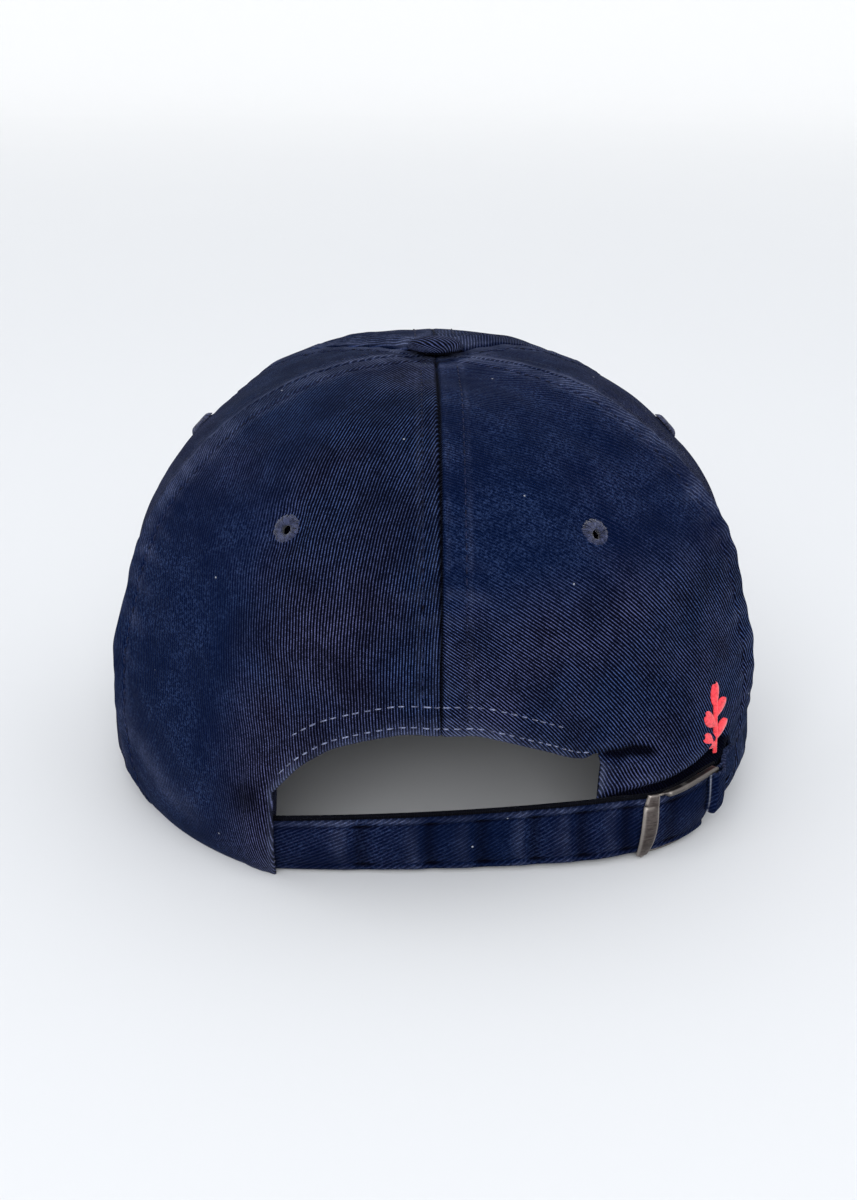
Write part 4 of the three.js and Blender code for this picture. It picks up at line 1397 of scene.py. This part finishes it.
def make_loop(material):
    """A band of twill from its slit, over the strap's tail, round the bar and back."""
    foot = float(strap_foot(PLATE_AZIMUTH))
    bar = END_BAR_AZIMUTH
    clear = degrees_of(END_BAR_WIDTH / 2 + GAP)
    middle_in = (ON_STRAP + ON_LOOP - GAP) / 2
    middle_out = ON_LOOP + BUCKLE_METAL + GAP + LOOP_CLOTH / 2
    turn = np.linspace(-math.pi / 2, math.pi / 2, 15)
    bend_azimuth = bar - clear - degrees_of(LOOP_CLOTH * 0.55) * np.cos(turn)
    bend_depth = (middle_in + middle_out) / 2 + (middle_out - middle_in) / 2 * np.sin(turn)
    back = np.linspace(LOOP_ROOT_AZIMUTH, bar - clear, 36)
    gone = smooth((back - STRAP_TAIL_AZIMUTH - 0.3) / 3)
    back_depth = middle_in + (LAID_GAP + LOOP_CLOTH / 2 - middle_in) * gone
    out = back[::-1]
    gone = smooth((out - bar - clear) / 4)
    out_depth = middle_out + (LAID_GAP + 1.5 * LOOP_CLOTH - middle_out) * gone
    azimuths = np.concatenate([back[:-1], bend_azimuth, out[1:]])[:, None]
    depths = np.concatenate([back_depth[:-1], bend_depth, out_depth[1:]])[:, None]
    up = np.concatenate([SHEET_EDGE, np.linspace(0.16, 0.84, 14), 1 - SHEET_EDGE[:0:-1], [1]])
    run = run_along(wall_point(azimuths[:, 0], foot + 9.0, depths[:, 0]))[:, None]
    top = STRAP_HEIGHT + tail_climb(azimuths)
    low = LOOP_LIFT + LOOP_LOW_CLIMB * smooth((azimuths - bar + 1.5) / 5)
    height = foot + low + (top - low) * up + LOOP_RISE * smooth((azimuths - bar - 1.2) / 6)
    azimuth = azimuths + 0 * up
    middle = wall_point(azimuth, height, depths + 0 * up)
    normal = unit(np.cross(np.gradient(middle, axis=0), np.gradient(middle, axis=1)))
    thick = LOOP_CLOTH / 2 * round_edge(up, STRAP_HEIGHT, 0.5)[None, :, None]
    forms = Forms()
    cloth = np.stack([run + 0 * height, height], axis=-1)
    forms.slab(middle + thick * normal, middle - thick * normal, 0, cloth)
    piece = forms.make("cloth_buckle_loop", [material])
    edge = np.minimum(up, 1 - up) * STRAP_HEIGHT
    wear_and_painted_light = 0.8 * hump(edge, 0.9) - 0.3 * hump(edge - 2.0, 0.6) + 0 * azimuth
    # Painted highlight along the loop's bend round the bar: lint-white, lightest at the top
    loop_bend_highlight = hump(depths - 0.55 * middle_in - 0.45 * middle_out, 0.32)
    loop_bend_highlight = (azimuths <= bar - clear + 0.01) * loop_bend_highlight * (0.72 + 0.28 * up)
    wear_and_painted_light = (np.clip(wear_and_painted_light, -1, 0.4) + 2.0 * loop_bend_highlight).ravel()
    set_attribute(piece, "wear_and_painted_light", np.clip(np.concatenate([wear_and_painted_light, wear_and_painted_light]), -1, 2))
    set_attribute(piece, "calm", np.full(2 * len(wear_and_painted_light), 0.7))
    return dress(piece, ["buckle_loop"])


# Inside: the sweatband and the tapes over the seams

BAND_HEIGHT = 28.0
BAND_THICKNESS = 1.2
BAND_FLOOR_GAP = 0.6
BAND_STEP_EASE = 5.0
BAND_EASE = 0.35
BAND_ROWS = (3.0, BAND_HEIGHT - 2.4)


def make_band(material, thread_look):
    right = math.degrees(math.asin(OPENING_HALF_WIDTH / float(outline(27, 0)[0]))) + 0.6
    left = 360 - math.degrees(math.asin(OPENING_HALF_WIDTH / float(outline(-27, 0)[0])))
    azimuth = np.linspace(right, left, 560)[:, None]
    up = np.concatenate([SHEET_EDGE, np.linspace(0.15, 0.85, 16), 1 - SHEET_EDGE[:0:-1], [1]])
    past = azimuth - 360 - STRAP_HIDDEN_AZIMUTH + 2 * BAND_STEP_EASE
    step = (STRAP_THICKNESS + LAID_GAP) * smooth(past / BAND_STEP_EASE)
    full = round_edge(up, BAND_HEIGHT, 0.5) * round_edge((azimuth - right) / (left - right), 520, 0.6)
    height = BAND_FLOOR_GAP + BAND_HEIGHT * up
    grid = np.broadcast_arrays(azimuth, height)
    cloth = np.stack([grid[0] * 1.6, grid[1]], axis=-1)
    depth = CLOTH + GAP + BAND_EASE + step + BAND_THICKNESS / 2
    depth = depth + 0.25 * (1 + sag(cloth)) * smooth(up * (1 - up) * 5)
    forms = Forms()
    forms.wall_slab(*grid, -depth, BAND_THICKNESS / 2 * full, cloth)
    for level in BAND_ROWS:
        turn = np.linspace(right + 1, left - 1, 900)
        nearest = depth[:, np.argmin(np.abs(height - level))]
        deep = np.interp(turn, azimuth[:, 0], nearest) + BAND_THICKNESS / 2 + 0.05
        points = wall_point(turn, level, -deep)
        sew(forms, points, points - wall_point(turn, level, -deep + 1), 2.2, 0.42, 3.2, 0.12, 1)
    return dress(forms.make("cloth_sweatband", [material, thread_look]), ["sweatband"])


TAPE_EDGE = np.array([7, 6.8, 6.4])
TAPE_UP_TO = 0.9


def make_tapes(material, thread_look):
    """Flat tapes that cover the seams inside the crown, sewn along both edges."""
    forms = Forms()
    across = np.concatenate([-TAPE_EDGE, np.linspace(-5.6, 5.6, 9), TAPE_EDGE[::-1]])[:, None]
    for seam in SEAM_LINES:
        low = OPENING_HEIGHT + 1.5 if seam == 0 else BAND_FLOOR_GAP + BAND_HEIGHT - 3
        ups = np.linspace(float(share_at_height(low)), TAPE_UP_TO, 90)
        radius = outline(seam, ups)[0]
        laid = across * np.clip((radius - 4) / 16, 0.25, 1)
        azimuth = seam + np.degrees(laid / radius)
        up = np.broadcast_to(ups, azimuth.shape)
        middle = 0.8 * relief(azimuth, up)[0] - CLOTH - 0.12 - 0.5 * hump(laid, 1.6) - 0.3
        half = 0.28 * round_edge((across + 7) / 14, 14, 0.35) * round_edge(np.linspace(0, 1, 90), 90, 0.5)
        run = np.interp(up, UP_TABLE, MIDDLE_RISE)
        cloth = np.stack([across + 0 * run, run], axis=-1)
        top, bottom = crown_point(azimuth, up, middle + half), crown_point(azimuth, up, middle - half)
        forms.slab(top, bottom, 0, cloth)
        for row in (2, 12):
            points = crown_point(azimuth[row], ups, middle[row] - 0.3)
            outward = points - crown_point(azimuth[row], ups, middle[row] + 0.7)
            sew(forms, points, outward, 2.2, 0.4, 3.0, 0.1, 1)
    return dress(forms.make("seam_tapes", [material, thread_look]), [])


# The peak

def peak_outer(share):
    """The peak's outer edge, from its left end over the front to its right end."""
    swing = math.pi * (np.asarray(share, float) - 0.5)
    rim_end = wall_point(PEAK_END_AZIMUTH, 0.0)[1]
    front = float(outline(180, 0)[0]) + PEAK_LENGTH
    x = PEAK_HALF_WIDTH * np.sign(np.sin(swing)) * np.abs(np.sin(swing)) ** (2 / PEAK_ROUNDNESS)
    y = rim_end + (front - rim_end) * np.maximum(np.cos(swing), 0) ** (2 / PEAK_ROUNDNESS)
    return x, y


def peak_point(share, forward, depth):
    """Points of the peak: depth 0 is its upper side, 1 its underside."""
    azimuth = 360 - PEAK_END_AZIMUTH + (2 * PEAK_END_AZIMUTH - 360) * share
    radius = outline(azimuth, 0.0)[0] - PEAK_TUCK
    outer_x, outer_y = peak_outer(share)
    x = radius * np.sin(np.radians(azimuth)) * (1 - forward) + outer_x * forward
    y = -radius * np.cos(np.radians(azimuth)) * (1 - forward) + outer_y * forward
    return np.stack([x, y, peak_top(x) - depth * PEAK_THICKNESS], axis=-1)


PEAK_ROWS = 8
PEAK_ROW_GAP = 7.0
PEAK_EDGE = 4.5
PEAK_EDGE_STEPS = (0, 0.08, 0.25, 0.5, 0.8, 1.2, 1.7)


def make_peak(material, thread_look):
    even = np.linspace(0, 1, 301)
    share = 0.35 * even + 0.65 * eased(301)
    outer_x, outer_y = peak_outer(share)
    inner = peak_point(share, np.zeros(301), 0)
    reach = np.hypot(outer_x - inner[:, 0], outer_y - inner[:, 1])
    from_edge = np.concatenate([PEAK_EDGE_STEPS, np.arange(2.4, 66, 1.15)])
    forward = 1 - from_edge / from_edge[-1]
    distance = reach[:, None] * (1 - forward)
    grid_share, grid_forward = np.broadcast_arrays(share[:, None], forward)
    half = PEAK_THICKNESS / 2
    ends = rounded(np.minimum(share, 1 - share) * 420, half, 0.03)[:, None]
    full = rounded(distance, half, 0.01) * ends
    groove = -0.22 * hump(distance - PEAK_EDGE, 0.5)
    for row in range(1, PEAK_ROWS):
        groove = groove - 0.16 * hump(distance - PEAK_EDGE - row * PEAK_ROW_GAP, 0.6)
    uneven = 0.08 * crumple(peak_point(grid_share, grid_forward, 0)) * smooth(distance / 4)
    top = (1 - full) / 2 - (groove + uneven) / PEAK_THICKNESS
    bottom = (1 + full) / 2 + (groove - 0.5 * uneven) / PEAK_THICKNESS
    forms = Forms()
    upper = peak_point(grid_share, grid_forward, top)
    forms.slab(upper, peak_point(grid_share, grid_forward, bottom), 0, upper[..., :2])
    for row in range(PEAK_ROWS):
        away = PEAK_EDGE + row * PEAK_ROW_GAP
        keep = reach > away + 2
        for depth, facing in ((0.02, 1.0), (0.98, -1.0)):
            points = peak_point(share[keep], 1 - away / reach[keep], depth)
            sew(forms, points, np.tile((0, 0, facing), (len(points), 1)), 2.3, 0.42, 3.0, 0.1, 1)
    piece = forms.make("cloth_peak", [material, thread_look])
    # A faded outer edge, and painted shade in the groove along the first stitch row
    bright = 0.8 * hump(distance - 0.3, 0.8) - 0.4 * hump(distance - PEAK_EDGE, 0.5)
    wear_and_painted_light = np.zeros(len(piece.data.vertices))
    wear_and_painted_light[:2 * distance.size] = np.tile(bright.ravel(), 2)
    set_attribute(piece, "wear_and_painted_light", np.clip(wear_and_painted_light, -1, 1))
    return dress(piece, ["peak"])


# The embroidered sprig: its leaves by their place along the stem, their lean and their length

SPRIG_AZIMUTH = 52.5
SPRIG_FOOT = 24.5
SPRIG_LENGTH = 20.0
SPRIG_STEM = 1.2
SPRIG_LEAF = 3.6
SPRIG_THREAD = 0.36
SPRIG_LEAVES = ((0.1, 52, 6.4), (0.2, -50, 6.6), (0.4, 48, 6.4), (0.52, -46, 6.0), (0.68, 0, 6.4))


def make_sprig(material):
    """Satin stitches laid side by side over each leaf and over the stem."""
    forms = Forms()
    draw = random.Random(SEED)
    radius = float(outline(SPRIG_AZIMUTH, share_at_height(SPRIG_FOOT))[0])
    share = np.array([0, 0.08, 0.3, 0.5, 0.7, 0.92, 1])
    width = SPRIG_THREAD * np.array([0.7, 1, 1, 1, 1, 1, 0.7])
    arch = np.sin(math.pi * np.clip(share, 0.02, 0.98)) ** 0.55

    def satin(start, end, high):
        flat = np.asarray(start) + (np.asarray(end) - np.asarray(start)) * share[:, None]
        azimuth = SPRIG_AZIMUTH + np.degrees(flat[:, 0] / radius)
        height = SPRIG_FOOT + flat[:, 1]
        points = wall_point(azimuth, height, LAID_GAP - 0.55 + high * arch)
        forms.tube(points, outward_at(azimuth, height), width, SPRIG_THREAD * 0.8, 5)

    for step in np.arange(0.2, SPRIG_LENGTH * 0.8, 0.27):
        wobble = draw.uniform(-0.06, 0.06)
        satin((-SPRIG_STEM / 2 + wobble, step - 0.16), (SPRIG_STEM / 2 + wobble, step + 0.16), 0.95)
    for along, lean, length in SPRIG_LEAVES:
        turn = math.radians(lean)
        axis = np.array([-math.sin(turn), math.cos(turn)])
        side = np.array([axis[1], -axis[0]])
        root = np.array([0, along * SPRIG_LENGTH])
        for step in np.arange(0.12, length - 0.1, 0.25):
            swing = math.acos(1 - 2 * step / length)
            half = SPRIG_LEAF / 2 * math.sin(swing) * (1 - 0.25 * math.cos(swing))
            half = half + draw.uniform(-0.05, 0.05)
            middle = root + axis * step
            slant = axis * half * 0.25
            reach = side * half + slant
            satin(middle - reach, middle + reach, 0.75 + 0.6 * half / SPRIG_LEAF)
    return dress(forms.make("embroidered_sprig", [material]), ["embroidery"])


# The studio

CAMERA_PLACE = (-10.63, -421.20, 211.69)
CAMERA_TURN = math.radians(-1.263)
CAMERA_FALL = math.radians(21.42)
CAMERA_ROLL = math.radians(0.593)
CAMERA_LENS = 45.0


def make_camera():
    data = bpy.data.cameras.new("camera")
    data.lens = CAMERA_LENS
    data.sensor_width = 36.0
    data.clip_start = 0.01
    camera = bpy.data.objects.new("camera", data)
    camera.location = to_row(CAMERA_PLACE)
    look = Matrix.Rotation(CAMERA_TURN, 4, "Z") @ Matrix.Rotation(math.pi / 2 - CAMERA_FALL, 4, "X")
    camera.rotation_euler = (look @ Matrix.Rotation(CAMERA_ROLL, 4, "Z")).to_euler()
    bpy.context.scene.collection.objects.link(camera)
    bpy.context.scene.camera = camera


FLOOR_FLAT = 3.0
COVE_RADIUS = 1.2
COVE_WALL = 0.6
# Painted light: the paper's colour is darker near the middle and lighter out towards the wall
PAPER_SHADED_NEAR = (0.725, 0.74, 0.765, 1)
PAPER_LIT_FAR = (0.95, 0.955, 0.96, 1)
STUDIO_LIGHT = (0.975, 0.985, 1.0, 1)
STUDIO_STRENGTH = 0.95


def make_floor():
    """A round paper sweep: flat under the cap and turned up into a low wall all round."""
    bend = np.linspace(0, math.pi / 2, 13)
    radius = np.concatenate([[0.01], FLOOR_FLAT + COVE_RADIUS * np.sin(bend), [FLOOR_FLAT + COVE_RADIUS]])
    rise = np.concatenate([[0], COVE_RADIUS * (1 - np.cos(bend)), [COVE_RADIUS + COVE_WALL]])
    columns, rows = 96, len(radius)
    turns = np.arange(columns) * 2 * math.pi / columns
    points = [np.outer(np.cos(turns), radius), np.outer(np.sin(turns), radius), np.tile(rise, (columns, 1))]
    faces = ring_faces(columns, rows, inward=True)
    faces.append(tuple(i * rows for i in range(columns)))
    floor = new_object("floor", np.stack(points, axis=-1).reshape(-1, 3), faces, [])
    graph = Graph("floor_paper")
    place = graph.object_place()
    far = graph.node("VectorMath", operation="LENGTH")
    graph.feed(far.inputs[0], place)
    # Painted light: the paper grows lighter with distance from the middle, with a little random tone
    away = graph.spread(far.outputs["Value"], 0.3, 3.6)
    tone = graph.math("MULTIPLY_ADD", graph.noise(place, 3.0, 2.0), 0.04, away)
    color = graph.mix(tone, PAPER_SHADED_NEAR, PAPER_LIT_FAR)
    floor.data.materials.append(graph.finish(color, Roughness=0.7, Specular_IOR_Level=0.1))


def area_light(name, place, target, size, power):
    data = bpy.data.lights.new(name, "AREA")
    data.shape = "RECTANGLE"
    data.size, data.size_y = size
    data.energy = power
    light = bpy.data.objects.new(name, data)
    light.location = Vector(place)
    light.rotation_euler = (Vector(target) - Vector(place)).to_track_quat("-Z", "Y").to_euler()
    bpy.context.scene.collection.objects.link(light)


def make_lights():
    world = bpy.data.worlds.new("studio")
    world.use_nodes = True
    backdrop = world.node_tree.nodes["Background"]
    backdrop.inputs["Color"].default_value = STUDIO_LIGHT
    backdrop.inputs["Strength"].default_value = STUDIO_STRENGTH
    bpy.context.scene.world = world
    area_light("overhead", (0.1, 0.7, 1.8), (0, 0.5, 0.0), (2.4, 1.6), 2)
    area_light("camera_side", (-0.3, -2.35, 1.4), (0, 0.0, 0.03), (2.2, 1.4), 48)
    bpy.context.scene.view_settings.view_transform = "Standard"


make_camera()
make_floor()
make_lights()

thread = thread_material("navy_thread", (0.006, 0.009, 0.030, 1), (0.045, 0.055, 0.12, 1))
seam_thread = thread_material("seam_thread", (0.001, 0.002, 0.009, 1), (0.012, 0.017, 0.055, 1), 0.0)
hem_thread = thread_material("hem_thread", (0.03, 0.036, 0.085, 1), (0.20, 0.23, 0.36, 1))
red_thread = satin_material("red_thread", (0.60, 0.012, 0.025, 1), (0.95, 0.05, 0.075, 1))
tape = band_material("dark_tape", (0.006, 0.007, 0.016, 1), (0.02, 0.023, 0.045, 1))
# Near-black tape for the strap's backing; where its edge shows above the strap's top it also stands in for
# the shade in the gap there
black_tape_and_shade = band_material("black_tape_and_shade", (0.0008, 0.001, 0.0025, 1), (0.003, 0.0035, 0.008, 1))
for panel_name, (side, low, high, lean, taper, curl, contrast) in PANELS.items():
    twill = twill_material("twill_" + panel_name, lean, TWILL_PITCH, contrast)
    make_panel("cloth_" + panel_name, side, low, high, taper, curl, twill)
make_seam_stitches(seam_thread)
make_hem_stitches(hem_thread)
for eyelet_name, (azimuth, height) in EYELETS.items():
    make_eyelet(eyelet_name, azimuth, height, [thread, tape])
make_button(twill_material("twill_button", 32, 1.15, 1.5))
make_strap(twill_material("twill_strap", -62, 0.9, 0.7), black_tape_and_shade)
make_buckle(metal_material("antique_metal"))
make_loop(twill_material("twill_loop", -50, TWILL_PITCH, 0.7))
make_band(tape, thread)
make_tapes(tape, thread)
make_peak(twill_material("twill_peak", 27), thread)
make_sprig(red_thread)
